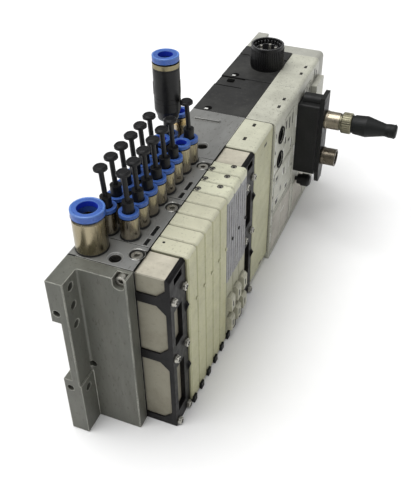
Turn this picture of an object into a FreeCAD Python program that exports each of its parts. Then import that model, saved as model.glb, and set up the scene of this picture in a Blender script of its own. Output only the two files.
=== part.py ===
"""Pneumatic valve island: aluminium manifold row with push-in fittings, valves, silencers and a bus node.

X runs out from the mounting face, Y along the row from the seam behind the front end plate,
Z up from the underside. All sizes are in millimetres.
"""
import FreeCAD, Part
import Sketcher
import math
import os
import re

# Driving sizes, each written once and read through the sheet
SIZES = {
    # Slices and rail groove
    "block_depth": 35,
    "block_height": 107.3,
    "groove_bottom": 39.9,
    "groove_top": 81.4,
    "groove_deep": 5,
    "pitch": 10.5,
    "seal_thick": 0.5,
    "edge_break": 0.4,
    "fit_gap": 0.1,
    "slide_gap": 0.05,
    # Widths along the row
    "supply_width": 18.25,
    "interface_width": 51.55,
    "link_width": 50.1,
    # End plates
    "web_thick": 8.2,
    "pillar_reach": 21,
    "pillar_depth": 9.2,
    "pillar_step": 0.8,
    "pillar_step_top": 37,
    "inner_round": 1.2,
    "pillar_hole": 2,
    "pillar_hole_deep": 8,
    "pillar_hole_away": 6,
    "wall_hole": 2.3,
    "wall_hole_drop": 5.8,
    "wall_hole_sink": 9.1,
    "rail_screw_rise": 8.2,
    "rail_screw_sink": 4.1,
    "notch_inset": 4,
    "notch_radius": 3,
    "notch_down": 3.3,
    "notch_floor": 2.5,
    "recess_radius": 2.2,
    "recess_out": 1.4,
    "recess_rise": 2.4,
    "recess_deep": 3,
    "rear_web": 12,
    "rear_pillar_depth": 8,
    "rear_pillar_reach": 28,
    "corner_radius": 3.5,
    # Places on top of the slices, as distances back from the valve side
    "left_inset": 25.2,
    "right_inset": 13.2,
    "supply_row": 9,
    "supply_inset": 26.6,
    "vent_inset": 12.6,
    "vent_row": 5.7,
    "vent_radius": 3,
    "vent_deep": 9,
    "vent_bevel": 0.8,
    "interface_row": 9.8,
    "interface_vent_row": 12,
    "pocket_inset": 4,
    "pocket_radius": 3.8,
    "pocket_deep": 3.6,
    "pocket_row": 34.4,
    "supply_pocket_row": 11.6,
    "mark_inset": 3.6,
    "mark_width": 2.2,
    "mark_deep": 2.5,
    "mark_row_one": 0.9,
    "mark_length_one": 5.6,
    "mark_row_two": 8.8,
    "mark_length_two": 8.4,
    # Raised rib on the pneumatic interface
    "rib_column": 6.4,
    "rib_row": 39.1,
    "rib_length": 16,
    "rib_width": 1.8,
    "rib_rise": 1.3,
    "rib_turn": 3.5,
    # Push-in fittings and release rings
    "body_radius": 4.9,
    "body_rise": 12.3,
    "body_bore": 3.1,
    "bore_floor": 1,
    "collar_bore": 4.05,
    "collar_deep": 3,
    "ring_radius": 5.05,
    "ring_bore": 3.2,
    "ring_lift": 0.7,
    "ring_thick": 2,
    "ring_collar": 2.5,
    "open_lift": 2.6,
    # Blanking plugs
    "spigot_radius": 2.9,
    "spigot_rise": 20.8,
    "plug_rise": 37.6,
    "stem_radius": 1.3,
    "head_radius": 3.5,
    "head_thick": 2.6,
    "head_under": 0.9,
    "plug_lean": 3,
    "plug_lean_x": 0.379,
    "plug_lean_y": -0.926,
    # Plug-in reducer
    "reducer_step": 25.2,
    "reducer_rim": 5.6,
    "reducer_radius": 7.2,
    "reducer_full": 31,
    "reducer_top": 58.2,
    "reducer_bore": 4.1,
    "reducer_deep": 14,
    "reducer_ring_thick": 2.9,
    # Supply and interface fittings
    "supply_radius": 8.2,
    "supply_rise": 18.8,
    "supply_bevel": 0.8,
    "supply_bore": 5.2,
    "supply_deep": 15,
    "supply_ring_radius": 8.4,
    "supply_ring_thick": 3.9,
    "small_rise": 18.8,
    "small_foot": 5.2,
    "small_foot_rise": 4,
    # Silencers
    "sinter_depth": 15.5,
    "sinter_floor": 4.3,
    "silencer_drop": 1.2,
    "frame_skin": 1,
    "frame_wall": 2.6,
    "frame_chamfer": 5,
    "frame_bevel": 1.2,
    "window_drop": 13,
    "bar_drop": 18.6,
    "window_two": 55,
    "bar_two": 49.1,
    "silencer_two_width": 17.35,
    "slit_start": 3.6,
    "slit_width": 9,
    "slot_start": 4.8,
    "slot_drop": 7.2,
    "slot_height": 4,
    "slot_deep": 1.7,
    "hook_width": 1.6,
    "hook_out": 1.6,
    "hook_height": 7,
    "hook_high": 72,
    "hook_low": 28,
    "trim_screw": 2.2,
    "trim_shank": 0.8,
    "trim_head": 1.3,
    "trim_bevel": 0.4,
    "trim_across": 1.2,
    "trim_length": 4,
    "trim_row": 2.85,
    "trim_drop": 15.8,
    "trim_mid": 52,
    "trim_low": 2.4,
    # Interface cover
    "cover_depth": 18.3,
    "cover_slot_depth": 1.5,
    "cover_slot_column": 7,
    "cover_slot_one": 11.1,
    "cover_slot_two": 28.1,
    # Valve slices
    "valve_depth": 19.8,
    "valve_bottom": 2,
    "valve_corner": 2.2,
    "valve_gap": 0.4,
    "flank_bevel": 0.8,
    # Clips of the valve seals, under the slices
    "clip_back": 4,
    "clip_out": 1.2,
    "clip_height": 4.6,
    "clip_width": 3.6,
    # Valve screws
    "screw_head": 1.5,
    "screw_shank": 1.1,
    "screw_head_thick": 1.6,
    "screw_sink": 0.3,
    "screw_length": 9,
    "screw_hole": 1.6,
    "screw_in": 1.9,
    "screw_out": 12.5,
    "screw_near": 2.2,
    "screw_far": 7.9,
    # Tie and manifold screws
    "tie_head": 2.9,
    "tie_shank": 1.6,
    "tie_head_thick": 3,
    "tie_length": 8,
    "hex_across": 1.5,
    # Nubs and grooves on the slices
    "nub_radius": 1,
    "nub_out": 0.6,
    "button_drop": 33.8,
    "button_inset": 1.7,
    "flute_one": 2.6,
    "flute_two": 6.2,
    "flute_width": 0.9,
    "flute_deep": 0.6,
    "flute_bottom": 46,
    "flute_drop": 7.3,
    # Override buttons
    "override_radius": 1,
    "override_out": 0.5,
    "override_length": 4,
    "override_stop": 1.3,
    # Pilot plugs
    "pilot_low": 7.5,
    "pilot_high": 23.5,
    "pilot_height": 10.5,
    "pilot_out": 3.2,
    "pilot_slope": 1.4,
    "pilot_width": 5.8,
    "pilot_row": 1.2,
    # Interlinking blocks
    "link_hole": 1.8,
    "link_hole_deep": 6,
    "link_hole_inset": 26.6,
    "link_hole_row": 3.4,
    "link_slot_row": 45.2,
    "link_slot_width": 2.4,
    "link_slot_length": 4,
    "link_slot_deep": 2,
    "link_step": 0.6,
    "link_step_row": 36.7,
    # Power connector
    "power_inset": 11,
    "power_radius": 11.2,
    "power_wall": 1.5,
    "power_rise": 16,
    "power_floor": 3,
    "power_pin": 0.9,
    "power_pin_circle": 5.6,
    "power_pin_rise": 11,
    # Electronics modules
    "module_depth": 20,
    "module_corner": 3,
    "module_slot_column": 14,
    "module_slot_one": 21.6,
    "module_slot_two": 32.4,
    "slot_size": 1.9,
    "module_slot_deep": 1.5,
    "socket_row": 12.2,
    "socket_drop": 14.4,
    "socket_apart": 17.9,
    "socket_rim": 5.4,
    "socket_rim_out": 0.4,
    "socket_bore": 4.6,
    "socket_deep": 8,
    "step_row": 31,
    "step_out": 4.5,
    "step_drop": 12.5,
    "step_bottom": 50,
    # Bus adapter, heights from the lower end of its plate
    "bus_row": 8.1,
    "bus_drop": 71.8,
    "bus_depth": 14.7,
    "bus_width": 18,
    "bus_bottom": 7.8,
    "bus_top": 60.8,
    "bus_round": 1.5,
    "shoulder_start": 2,
    "shoulder_width": 9.2,
    "shoulder_rise": 4.4,
    "shoulder_round": 3.6,
    "plate_thick": 3,
    "plate_width": 14,
    "plate_top": 66.5,
    "plate_taper": 9.8,
    "plate_nose": 8,
    "thumb_radius": 4.6,
    "thumb_length": 6.2,
    "thumb_bevel": 1.5,
    "thumb_away": 5,
    "thumb_low": -3.8,
    "thumb_shank": 1.5,
    "thumb_shank_length": 9,
    # Round ports
    "port_radius": 6,
    "port_length": 10.2,
    "port_wall": 1.1,
    "port_deep": 7,
    "port_seat": 3,
    "port_high": 48.3,
    "port_low": 19.7,
    # Coupling nut, measured from the end of the port
    "nut_bore": 3.9,
    "nut_shank": 4,
    "nut_away": 0.2,
    "nut_gap": 1.4,
    "nut_neck": 5.5,
    "nut_length": 6.8,
    "nut_radius": 7.1,
    "nut_bevel": 0.6,
    "knurl_radius": 0.35,
    "knurl_out": 0.12,
    # Cable plug, measured from the back of the nut
    "insert_radius": 3.6,
    "plug_away": 0.3,
    "plug_neck": 5.9,
    "plug_neck_length": 1.2,
    "plug_start": 6.4,
    "plug_belly": 7.1,
    "plug_belly_at": 9.5,
    "plug_waist": 4.2,
    "plug_waist_at": 22,
    "plug_end": 4.6,
    "plug_end_at": 24.5,
    "plug_length": 29.4,
    "plug_bevel": 0.8,
}

V = FreeCAD.Vector
doc = FreeCAD.newDocument("valve_island")
sheet = doc.addObject("Spreadsheet::Sheet", "sizes")
for line, (word, number) in enumerate(SIZES.items(), 1):
    sheet.set("A%d" % line, word)
    sheet.set("B%d" % line, str(number))
    sheet.setAlias("B%d" % line, word)
doc.recompute()

# Places along the row, as sums of the widths
BASE_ONE = "supply_width"
BASE_TWO = "(supply_width + 4 * pitch)"
INTERFACE = "(supply_width + 8 * pitch)"
LINK_ONE = "(supply_width + 8 * pitch + interface_width)"
LINK_TWO = "(supply_width + 8 * pitch + interface_width + link_width)"
REAR = "(supply_width + 8 * pitch + interface_width + 2 * link_width)"
COVER = "(supply_width + 8 * pitch + silencer_two_width)"
TOP = "block_height"
BUS = "(supply_width + 8 * pitch + interface_width + link_width + bus_row)"
FOOT = "(block_height - bus_drop)"

# Columns on top of the slices
LEFT = "(block_depth - left_inset)"
RIGHT = "(block_depth - right_inset)"
SUPPLY = "(block_depth - supply_inset)"
VENT = "(block_depth - vent_inset)"
POCKET = "(block_depth - pocket_inset)"
NOTCH = "(block_depth - notch_inset)"

nodes = {}


def words(text):
    """An expression with each size word taken from the sheet."""
    return re.sub(r"[a-z][a-z_]+", lambda m: "sizes." + m.group(0), str(text))


def bind(item, prop, text):
    """Tie one property to an expression in the sheet's words."""
    item.setExpression(prop, words(text))


def place(item, x="0", y="0", z="0"):
    """Tie the three coordinates of a placement to the sheet."""
    for axis, text in zip("xyz", (x, y, z)):
        if str(text) != "0":
            bind(item, "Placement.Base." + axis, text)
    return item


def turn(item, axis, angle):
    """Turn a placement about an axis through its own origin."""
    item.Placement = FreeCAD.Placement(V(0, 0, 0), FreeCAD.Rotation(V(*axis), angle))
    return item


def keep(name, item):
    """Give a finished sub-part its file name."""
    item.Label = name
    nodes[name] = item
    return item


def new_body(name):
    return doc.addObject("PartDesign::Body", name)


def outline(body, role, points):
    """Closed sketch through points on one of the body's own origin planes."""
    sketch = body.newObject("Sketcher::SketchObject", body.Name + "_outline")
    plane = [f for f in body.Origin.OriginFeatures if f.Role == role][0]
    sketch.AttachmentSupport = (plane, [""])
    sketch.MapMode = "FlatFace"
    count = len(points)
    ends = [V(10 * math.cos(6.2832 * i / count), 10 * math.sin(6.2832 * i / count), 0) for i in range(count)]
    sketch.addGeometry([Part.LineSegment(ends[i], ends[(i + 1) % count]) for i in range(count)])
    sketch.addConstraint([Sketcher.Constraint("Coincident", i, 2, (i + 1) % count, 1) for i in range(count)])
    for i, point in enumerate(points):
        for kind, text in zip(("DistanceX", "DistanceY"), point):
            index = sketch.addConstraint(Sketcher.Constraint(kind, -1, 1, i, 1, 1.0))
            bind(sketch, "Constraints[%d]" % index, text)
    return sketch


def pad(body, sketch, length, backwards=False):
    """Pad a sketch, along its normal or against it."""
    feature = body.newObject("PartDesign::Pad", body.Name + "_pad")
    feature.Profile = sketch
    feature.Reversed = backwards
    bind(feature, "Length", length)
    sketch.Visibility = False
    return feature


def along_row(name, points, length):
    """Body with an X-Z profile padded along the row."""
    body = new_body(name)
    pad(body, outline(body, "XZ_Plane", points), length, True)
    return body


def turned(name, points):
    """Body revolved about its own Z axis from a radius-height profile."""
    body = new_body(name)
    sketch = outline(body, "XZ_Plane", points)
    feature = body.newObject("PartDesign::Revolution", name + "_turn")
    feature.Profile = sketch
    feature.ReferenceAxis = (sketch, ["V_Axis"])
    feature.Angle = 360
    return body


def box(body, x, y, z, length, width, height, add=False):
    """Box added to a body or cut from it."""
    kind = "PartDesign::AdditiveBox" if add else "PartDesign::SubtractiveBox"
    feature = body.newObject(kind, body.Name + "_box")
    place(feature, x, y, z)
    bind(feature, "Length", length)
    bind(feature, "Width", width)
    bind(feature, "Height", height)
    return feature


def rod(body, x, y, z, radius, height, way="up", add=False):
    """Cylinder added to a body or cut from it, going up, out along X or along the row."""
    kind = "PartDesign::AdditiveCylinder" if add else "PartDesign::SubtractiveCylinder"
    feature = body.newObject(kind, body.Name + "_rod")
    if way == "out":
        turn(feature, (0, 1, 0), 90)
    if way == "row":
        turn(feature, (1, 0, 0), -90)
    place(feature, x, y, z)
    bind(feature, "Radius", radius)
    bind(feature, "Height", height)
    return feature


def round_edges(body, radius, wanted):
    """Fillet the edges of the body's tip that pass the test on their middle point and direction."""
    doc.recompute()
    base = body.Tip
    names = []
    for i, edge in enumerate(base.Shape.Edges, 1):
        if wanted(edge.CenterOfMass, edge):
            names.append("Edge%d" % i)
    feature = body.newObject("PartDesign::Fillet", body.Name + "_round")
    feature.Base = (base, names)
    bind(feature, "Radius", radius)
    return feature


def bevel_edges(body, size, wanted):
    """Chamfer the edges of the body's tip that pass the test on their middle point."""
    doc.recompute()
    base = body.Tip
    names = ["Edge%d" % i for i, edge in enumerate(base.Shape.Edges, 1) if wanted(edge.CenterOfMass)]
    feature = body.newObject("PartDesign::Chamfer", body.Name + "_bevel")
    feature.Base = (base, names)
    bind(feature, "Size", size)
    return feature


def hex_pocket(body, across, top, deep):
    """Hexagon socket in the top of a turned screw."""
    corners = [(math.cos(math.radians(60 * k)), math.sin(math.radians(60 * k))) for k in range(6)]
    points = [("%.4f * %s" % (x, across), "%.4f * %s" % (y, across)) for x, y in corners]
    hexagon = outline(body, "XY_Plane", points)
    bind(hexagon, "AttachmentOffset.Base.z", top)
    pocket = body.newObject("PartDesign::Pocket", body.Name + "_socket")
    pocket.Profile = hexagon
    bind(pocket, "Length", deep)
    return pocket


def copies(name, master, spots):
    """Group of linked copies of one master piece, as separate solids."""
    links = []
    for k, (x, y, z) in enumerate(spots):
        link = doc.addObject("App::Link", "%s_%d" % (name, k))
        link.LinkedObject = master
        link.Placement = master.Placement
        place(link, x, y, z)
        links.append(link)
    group = doc.addObject("Part::Compound", name)
    group.Links = links
    return keep(name, group)


# Section of the aluminium slices, with the rail groove in the back
BLOCK = [("0", "0"), ("block_depth", "0"), ("block_depth", TOP + " - edge_break"),
         ("block_depth - edge_break", TOP), ("0", TOP), ("0", "groove_top"),
         ("groove_deep", "groove_top"), ("groove_deep", "groove_bottom"), ("0", "groove_bottom")]


def slice_block(name, start, width):
    """One aluminium slice of the row."""
    return place(along_row(name, BLOCK, width), y=start)


def screw_pocket(body, row):
    """Round pocket in the top, open toward the valves."""
    rod(body, POCKET, row, TOP + " - pocket_deep", "pocket_radius", "pocket_deep + 1")
    box(body, POCKET, row + " - pocket_radius", TOP + " - pocket_deep",
        "pocket_inset + 1", "2 * pocket_radius", "pocket_deep + 1")
    rod(body, POCKET, row, TOP + " - pocket_deep - tie_length",
        "tie_shank + fit_gap", "tie_length + 1")


def vent(body, row):
    """Tapped exhaust hole with a countersunk mouth."""
    rod(body, VENT, row, TOP + " - vent_deep", "vent_radius", "vent_deep + 1")
    mouth = body.newObject("PartDesign::SubtractiveCone", body.Name + "_mouth")
    place(mouth, VENT, row, TOP + " - vent_bevel")
    bind(mouth, "Radius1", "vent_radius")
    bind(mouth, "Radius2", "vent_radius + 2 * vent_bevel")
    bind(mouth, "Height", "2 * vent_bevel")


def front_end_plate():
    """Cast plate: web across the row, pillar at the wall, rail groove, screw notch and wall holes."""
    body = new_body("front_end_plate")
    points = [("0", "-pillar_reach"), ("pillar_depth - edge_break", "-pillar_reach"),
              ("pillar_depth", "-pillar_reach + edge_break"), ("pillar_depth", "-web_thick"),
              ("block_depth - edge_break", "-web_thick"), ("block_depth", "-web_thick + edge_break"),
              ("block_depth", "-seal_thick"), ("0", "-seal_thick")]
    pad(body, outline(body, "XY_Plane", points), TOP)
    round_edges(body, "inner_round", lambda c, e: abs(c.x - SIZES["pillar_depth"]) < 0.1
                and abs(c.y + SIZES["web_thick"]) < 0.1)
    box(body, "pillar_depth - 1", "-pillar_reach", "0", "pillar_step + 1",
        "pillar_reach - web_thick + 0.5", "pillar_step_top", add=True)
    box(body, "-1", "-pillar_reach - 1", "groove_bottom", "groove_deep + 1", "pillar_reach + 2",
        "groove_top - groove_bottom")
    for height in ("groove_top + pillar_hole_away", "groove_bottom - pillar_hole_away"):
        rod(body, "0.36 * pillar_depth", "-pillar_reach - 1", height, "pillar_hole",
            "pillar_hole_deep + 1", "row")
    for height in (TOP + " - wall_hole_drop", "groove_top + rail_screw_rise",
                   "groove_top - rail_screw_sink", "groove_bottom - wall_hole_sink"):
        rod(body, "-1", "-(pillar_reach + web_thick) / 2", height, "wall_hole",
            "pillar_depth + pillar_step + 2", "out")
    rod(body, NOTCH, "-web_thick - 1", TOP + " - notch_down", "notch_radius",
        "web_thick + 1 - notch_floor", "row")
    box(body, NOTCH + " - notch_radius", "-web_thick - 1", TOP + " - notch_down",
        "2 * notch_radius", "web_thick + 1 - notch_floor", "notch_down + 1")
    rod(body, NOTCH, "-notch_floor - 1", TOP + " - notch_down", "tie_shank + fit_gap",
        "notch_floor + 2", "row")
    rod(body, "pillar_depth + recess_out", "-web_thick - 1", "groove_bottom + recess_rise",
        "recess_radius", "recess_deep + 1", "row")
    keep("front_end_plate", body)


def rear_end_plate():
    """Light plate behind the last module, with its own pillar at the wall."""
    body = new_body("rear_end_plate")
    depth = "block_depth + module_depth"
    points = [("0", "0"), (depth, "0"), (depth, "rear_web"), ("rear_pillar_depth", "rear_web"),
              ("rear_pillar_depth", "rear_pillar_reach"), ("0", "rear_pillar_reach")]
    pad(body, outline(body, "XY_Plane", points), TOP)
    round_edges(body, "corner_radius", lambda c, e: c.z > SIZES["block_height"] - 0.1
                and c.x > SIZES["block_depth"] + SIZES["module_depth"] - 0.1)
    box(body, "-1", "-1", "groove_bottom", "groove_deep + 1", "rear_pillar_reach + 2",
        "groove_top - groove_bottom")
    for height in (TOP + " - wall_hole_drop", "groove_bottom - wall_hole_sink"):
        rod(body, "-1", "(rear_web + rear_pillar_reach) / 2", height, "wall_hole",
            "rear_pillar_depth + 2", "out")
    keep("rear_end_plate", place(body, y=REAR))


def aluminium_row():
    """Supply plate, two sub-bases, pneumatic interface and the seals between them."""
    body = slice_block("supply_plate", "0", "supply_width - seal_thick")
    vent(body, "vent_row")
    rod(body, NOTCH, "-1", TOP + " - notch_down", "tie_shank + fit_gap",
        "tie_length - notch_floor + 1.2", "row")
    screw_pocket(body, "supply_pocket_row")
    keep("supply_plate", body)
    for name, start in (("sub_base_1", BASE_ONE), ("sub_base_2", BASE_TWO)):
        body = slice_block(name, start, "4 * pitch - seal_thick")
        screw_pocket(body, "pocket_row")
        for row, length in (("mark_row_one", "mark_length_one"), ("mark_row_two", "mark_length_two")):
            box(body, "block_depth - mark_inset - mark_width / 2", row, TOP + " - mark_deep",
                "mark_width", length, "mark_deep + 1")
        keep(name, body)
    body = slice_block("pneumatic_interface", INTERFACE, "interface_width")
    vent(body, "interface_vent_row")
    rib = box(body, "rib_column", "rib_row", TOP + " - 1",
              "rib_length", "rib_width", "rib_rise + 1", add=True)
    rib.Placement.Rotation = FreeCAD.Rotation(V(0, 0, 1), SIZES["rib_turn"])
    keep("pneumatic_interface", body)
    seal = along_row("seal", BLOCK, "seal_thick")
    rod(seal, NOTCH, "-1", TOP + " - notch_down", "tie_shank + fit_gap", "seal_thick + 2", "row")
    rows = ["-seal_thick"] + [start + " - seal_thick" for start in (BASE_ONE, BASE_TWO, INTERFACE)]
    clip = along_row("seal_clip", [("-clip_back", "0"), ("clip_out", "0"), ("clip_out", "clip_height"),
                                   ("0", "clip_height"), ("0", "valve_bottom"), ("-clip_back", "valve_bottom")],
                     "clip_width")
    masters = [(seal, "0", row) for row in rows]
    masters += [(clip, "block_depth + valve_depth", "supply_width + valve_gap / 2 + %d * pitch" % k)
                for k in range(8)]
    links = []
    for k, (master, x, y) in enumerate(masters):
        link = doc.addObject("App::Link", "seal_%d" % k)
        link.LinkedObject = master
        links.append(place(link, x, y))
    group = doc.addObject("Part::Compound", "gaskets")
    group.Links = links
    keep("gaskets", group)


def port_rows():
    """Column, row, lift and name of the sixteen valve-port fittings."""
    for column, side in ((LEFT, "l"), (RIGHT, "r")):
        for k in range(8):
            lift = "open_lift" if k == 6 else "0"
            yield column, "supply_width + %s * pitch" % (k + 0.5), lift, "%s%d" % (side, k + 1)


def fittings():
    """Port fittings, the supply fitting and the interface fitting."""
    plain = turned("port_fitting", [("0", "0"), ("body_radius", "0"), ("body_radius", "body_rise"),
                                    ("body_bore", "body_rise"), ("body_bore", "bore_floor"),
                                    ("0", "bore_floor")])
    spots = [(column, row, TOP) for column, row, lift, tag in port_rows() if lift == "0"]
    copies("port_fittings", plain, spots)
    tall = turned("open_fitting", [("0", "0"), ("body_radius", "0"), ("body_radius", "body_rise + open_lift"),
                                   ("collar_bore", "body_rise + open_lift"),
                                   ("collar_bore", "body_rise + open_lift - collar_deep"),
                                   ("body_bore", "body_rise + open_lift - collar_deep"),
                                   ("body_bore", "bore_floor"), ("0", "bore_floor")])
    spots = [(column, row, TOP) for column, row, lift, tag in port_rows() if lift != "0"]
    copies("open_fittings", tall, spots)
    small = turned("interface_fitting", [("0", "0"), ("small_foot", "0"), ("small_foot", "small_foot_rise"),
                                         ("body_radius", "small_foot_rise"), ("body_radius", "small_rise"),
                                         ("collar_bore", "small_rise"),
                                         ("collar_bore", "small_rise - collar_deep"),
                                         ("body_bore", "small_rise - collar_deep"),
                                         ("body_bore", "bore_floor"), ("0", "bore_floor")])
    keep("interface_fitting", place(small, LEFT, INTERFACE + " + interface_row", TOP))
    large = turned("supply_fitting", [("0", "0"), ("supply_radius", "0"),
                                      ("supply_radius", "supply_rise - supply_bevel"),
                                      ("supply_radius - supply_bevel", "supply_rise"),
                                      ("supply_bore + 1", "supply_rise"),
                                      ("supply_bore + 1", "supply_rise - collar_deep"),
                                      ("supply_bore - 0.1", "supply_rise - collar_deep"),
                                      ("supply_bore - 0.1", "supply_rise - supply_deep"),
                                      ("0", "supply_rise - supply_deep")])
    keep("supply_fitting", place(large, SUPPLY, "supply_row", TOP))


def ring(name, radius, bore, thick, collar=None):
    """Release ring; where a tube can be pushed in, its collar runs in the fitting's mouth."""
    points = [(bore, "0"), (radius, "0"), (radius, thick), (bore, thick)]
    if collar:
        points = [(bore, "-ring_collar"), (collar, "-ring_collar"), (collar, "0")] + points[1:]
    return turned(name, points)


def rings():
    for column, row, lift, tag in port_rows():
        collar = "collar_bore - slide_gap" if lift != "0" else None
        item = ring("ring_" + tag, "ring_radius", "ring_bore", "ring_thick", collar)
        keep("ring_" + tag, place(item, column, row, TOP + " + body_rise + ring_lift + " + lift))
    item = ring("interface_ring", "ring_radius", "ring_bore", "ring_thick", "collar_bore - slide_gap")
    keep("interface_ring", place(item, LEFT, INTERFACE + " + interface_row",
                                 TOP + " + small_rise + ring_lift"))
    item = ring("supply_ring", "supply_ring_radius", "supply_bore", "supply_ring_thick",
                "supply_bore + 1 - slide_gap")
    keep("supply_ring", place(item, SUPPLY, "supply_row", TOP + " + supply_rise + ring_lift"))
    item = ring("reducer_ring", "reducer_radius", "reducer_bore", "reducer_ring_thick",
                "reducer_bore + 1 - slide_gap")
    keep("reducer_ring", place(item, LEFT, "supply_width + 7.5 * pitch",
                               TOP + " + reducer_top + ring_lift"))


def plugs():
    """Blanking plugs: upright spigot, thin leaning stem and mushroom head, and the plug-in reducer."""
    spigot = turned("plug_spigot", [("0", "bore_floor + 0.5"), ("spigot_radius", "bore_floor + 0.5"),
                                    ("spigot_radius", "spigot_rise"), ("0", "spigot_rise")])
    stem = turned("plug_stem", [("0", "-1"), ("stem_radius", "-1"),
                                ("stem_radius", "plug_rise - spigot_rise - head_thick"),
                                ("head_radius", "plug_rise - spigot_rise - head_thick + head_under"),
                                ("head_radius", "plug_rise - spigot_rise - 0.5"),
                                ("head_radius - 0.5", "plug_rise - spigot_rise"),
                                ("0", "plug_rise - spigot_rise")])
    stem.Placement = FreeCAD.Placement(V(0, 0, 0), FreeCAD.Rotation(
        V(SIZES["plug_lean_x"], SIZES["plug_lean_y"], 0), SIZES["plug_lean"]))
    place(stem, z="spigot_rise")
    plug = doc.addObject("Part::MultiFuse", "blanking_plug")
    plug.Shapes = [spigot, stem]
    spots = [(column, row, TOP) for column, row, lift, tag in port_rows() if lift == "0" and tag != "l8"]
    copies("blanking_plugs", plug, spots)
    reducer = turned("reducer_body", [("0", "bore_floor + 0.5"), ("spigot_radius", "bore_floor + 0.5"),
                                      ("spigot_radius", "reducer_step"), ("reducer_rim", "reducer_step"),
                                      ("reducer_rim", "reducer_step + 1"), ("reducer_radius", "reducer_full"),
                                      ("reducer_radius", "reducer_top"),
                                      ("reducer_bore + 1", "reducer_top"),
                                      ("reducer_bore + 1", "reducer_top - collar_deep"),
                                      ("reducer_bore - 0.1", "reducer_top - collar_deep"),
                                      ("reducer_bore - 0.1", "reducer_top - reducer_deep"),
                                      ("0", "reducer_top - reducer_deep")])
    keep("reducer_body", place(reducer, LEFT, "supply_width + 7.5 * pitch", TOP))


def silencer(number, start, width):
    """Porous block and black frame with chamfered windows."""
    wall = "(block_depth + sinter_depth)"
    front = wall + " + frame_wall"
    crown = TOP + " - silencer_drop"
    section = [("block_depth", "sinter_floor"), (wall, "sinter_floor"), (wall, crown), ("block_depth", crown)]
    block = along_row("silencer_block_%d" % number, section, width + " - 2 * frame_skin")
    keep("silencer_block_%d" % number, place(block, y=start + " + frame_skin"))
    inner = wall + " - frame_chamfer"
    top_window = TOP + " - window_drop"
    top_bar = TOP + " - bar_drop"
    points = [("block_depth", "0"), (front, "0"), (front, crown + " - frame_bevel"),
              (front + " - frame_bevel", crown), (wall, crown), (wall, top_window + " + frame_chamfer"),
              (inner, top_window), ("block_depth", top_window)]
    for high, low in ((top_bar, "window_two"), ("bar_two", "sinter_floor")):
        points += [("block_depth", high), (inner, high), (wall, high + " - frame_chamfer"),
                   (wall, low + " + frame_chamfer"), (inner, low), ("block_depth", low)]
    frame = along_row("silencer_frame_%d" % number, points, width)
    box(frame, "block_depth - 1", "frame_skin", "sinter_floor", "sinter_depth + 1",
        width + " - 2 * frame_skin", TOP)
    for low, high in (("sinter_floor + frame_chamfer", "bar_two - frame_chamfer"),
                      ("window_two + frame_chamfer", top_bar + " - frame_chamfer")):
        box(frame, wall + " - 1", "slit_start", low, "frame_wall + 2", "slit_width",
            high + " - (" + low + ")")
    box(frame, front + " - slot_deep", "slot_start", TOP + " - slot_drop", "slot_deep + 1", "slit_width",
        "slot_height")
    for low in ("hook_low", "hook_high"):
        high = low + " + hook_height"
        hook = outline(frame, "XZ_Plane", [(front + " - 1", low), (front, low),
                                           (front + " + hook_out", low + " + 0.7 * hook_height"),
                                           (front, high), (front + " - 1", high)])
        bind(hook, "AttachmentOffset.Base.z", "-(" + width + " - hook_width)")
        pad(frame, hook, "hook_width", True)
    for row in ("trim_row", width + " - trim_row"):
        for height in (TOP + " - trim_drop", "trim_mid", "trim_low"):
            rod(frame, front + " - trim_length", row, height, "trim_shank + slide_gap",
                "trim_length + 1", "out")
            rod(block, front + " - trim_length", row + " - frame_skin", height,
                "trim_shank + slide_gap", "trim_length + 1", "out")
    keep("silencer_frame_%d" % number, place(frame, y=start))


def cover_edges(body, depth, width):
    """Rounded upper front corner and bevelled flanks of a cover or slice."""
    wall = SIZES["block_depth"] + SIZES[depth]
    round_edges(body, "valve_corner", lambda c, e: c.x > wall - 0.1 and c.z > SIZES["block_height"] - 0.1)
    bevel_edges(body, "flank_bevel", lambda c: (c.y < 0.01 or c.y > width - 0.01)
                and c.x > SIZES["block_depth"] + 1 and c.z > SIZES["valve_bottom"] + 5)


def interface_cover():
    """Light housing in front of the pneumatic interface."""
    wall = "block_depth + cover_depth"
    points = [("block_depth", "valve_bottom"), (wall + " - 4", "valve_bottom"), (wall, "valve_bottom + 4"),
              (wall, TOP), ("block_depth + edge_break", TOP), ("block_depth", TOP + " - edge_break")]
    body = along_row("interface_cover", points, "interface_width - silencer_two_width")
    cover_edges(body, "cover_depth", SIZES["interface_width"] - SIZES["silencer_two_width"])
    for row in ("cover_slot_one", "cover_slot_two"):
        box(body, "block_depth + cover_slot_column", row + " - slot_size", TOP + " - cover_slot_depth",
            "slot_size", "2 * slot_size", "cover_slot_depth + 1")
    keep("interface_cover", place(body, y=COVER))


def valve_slice(name, k):
    """Slice with the common outline, at its place in the row."""
    wall = "block_depth + valve_depth"
    body = along_row(name, [("block_depth", "valve_bottom"), (wall, "valve_bottom"), (wall, TOP),
                            ("block_depth + edge_break", TOP), ("block_depth", TOP + " - edge_break")],
                     "pitch - valve_gap")
    cover_edges(body, "valve_depth", SIZES["pitch"] - SIZES["valve_gap"])
    return place(body, y="supply_width + valve_gap / 2 + %d * pitch" % k)


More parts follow.
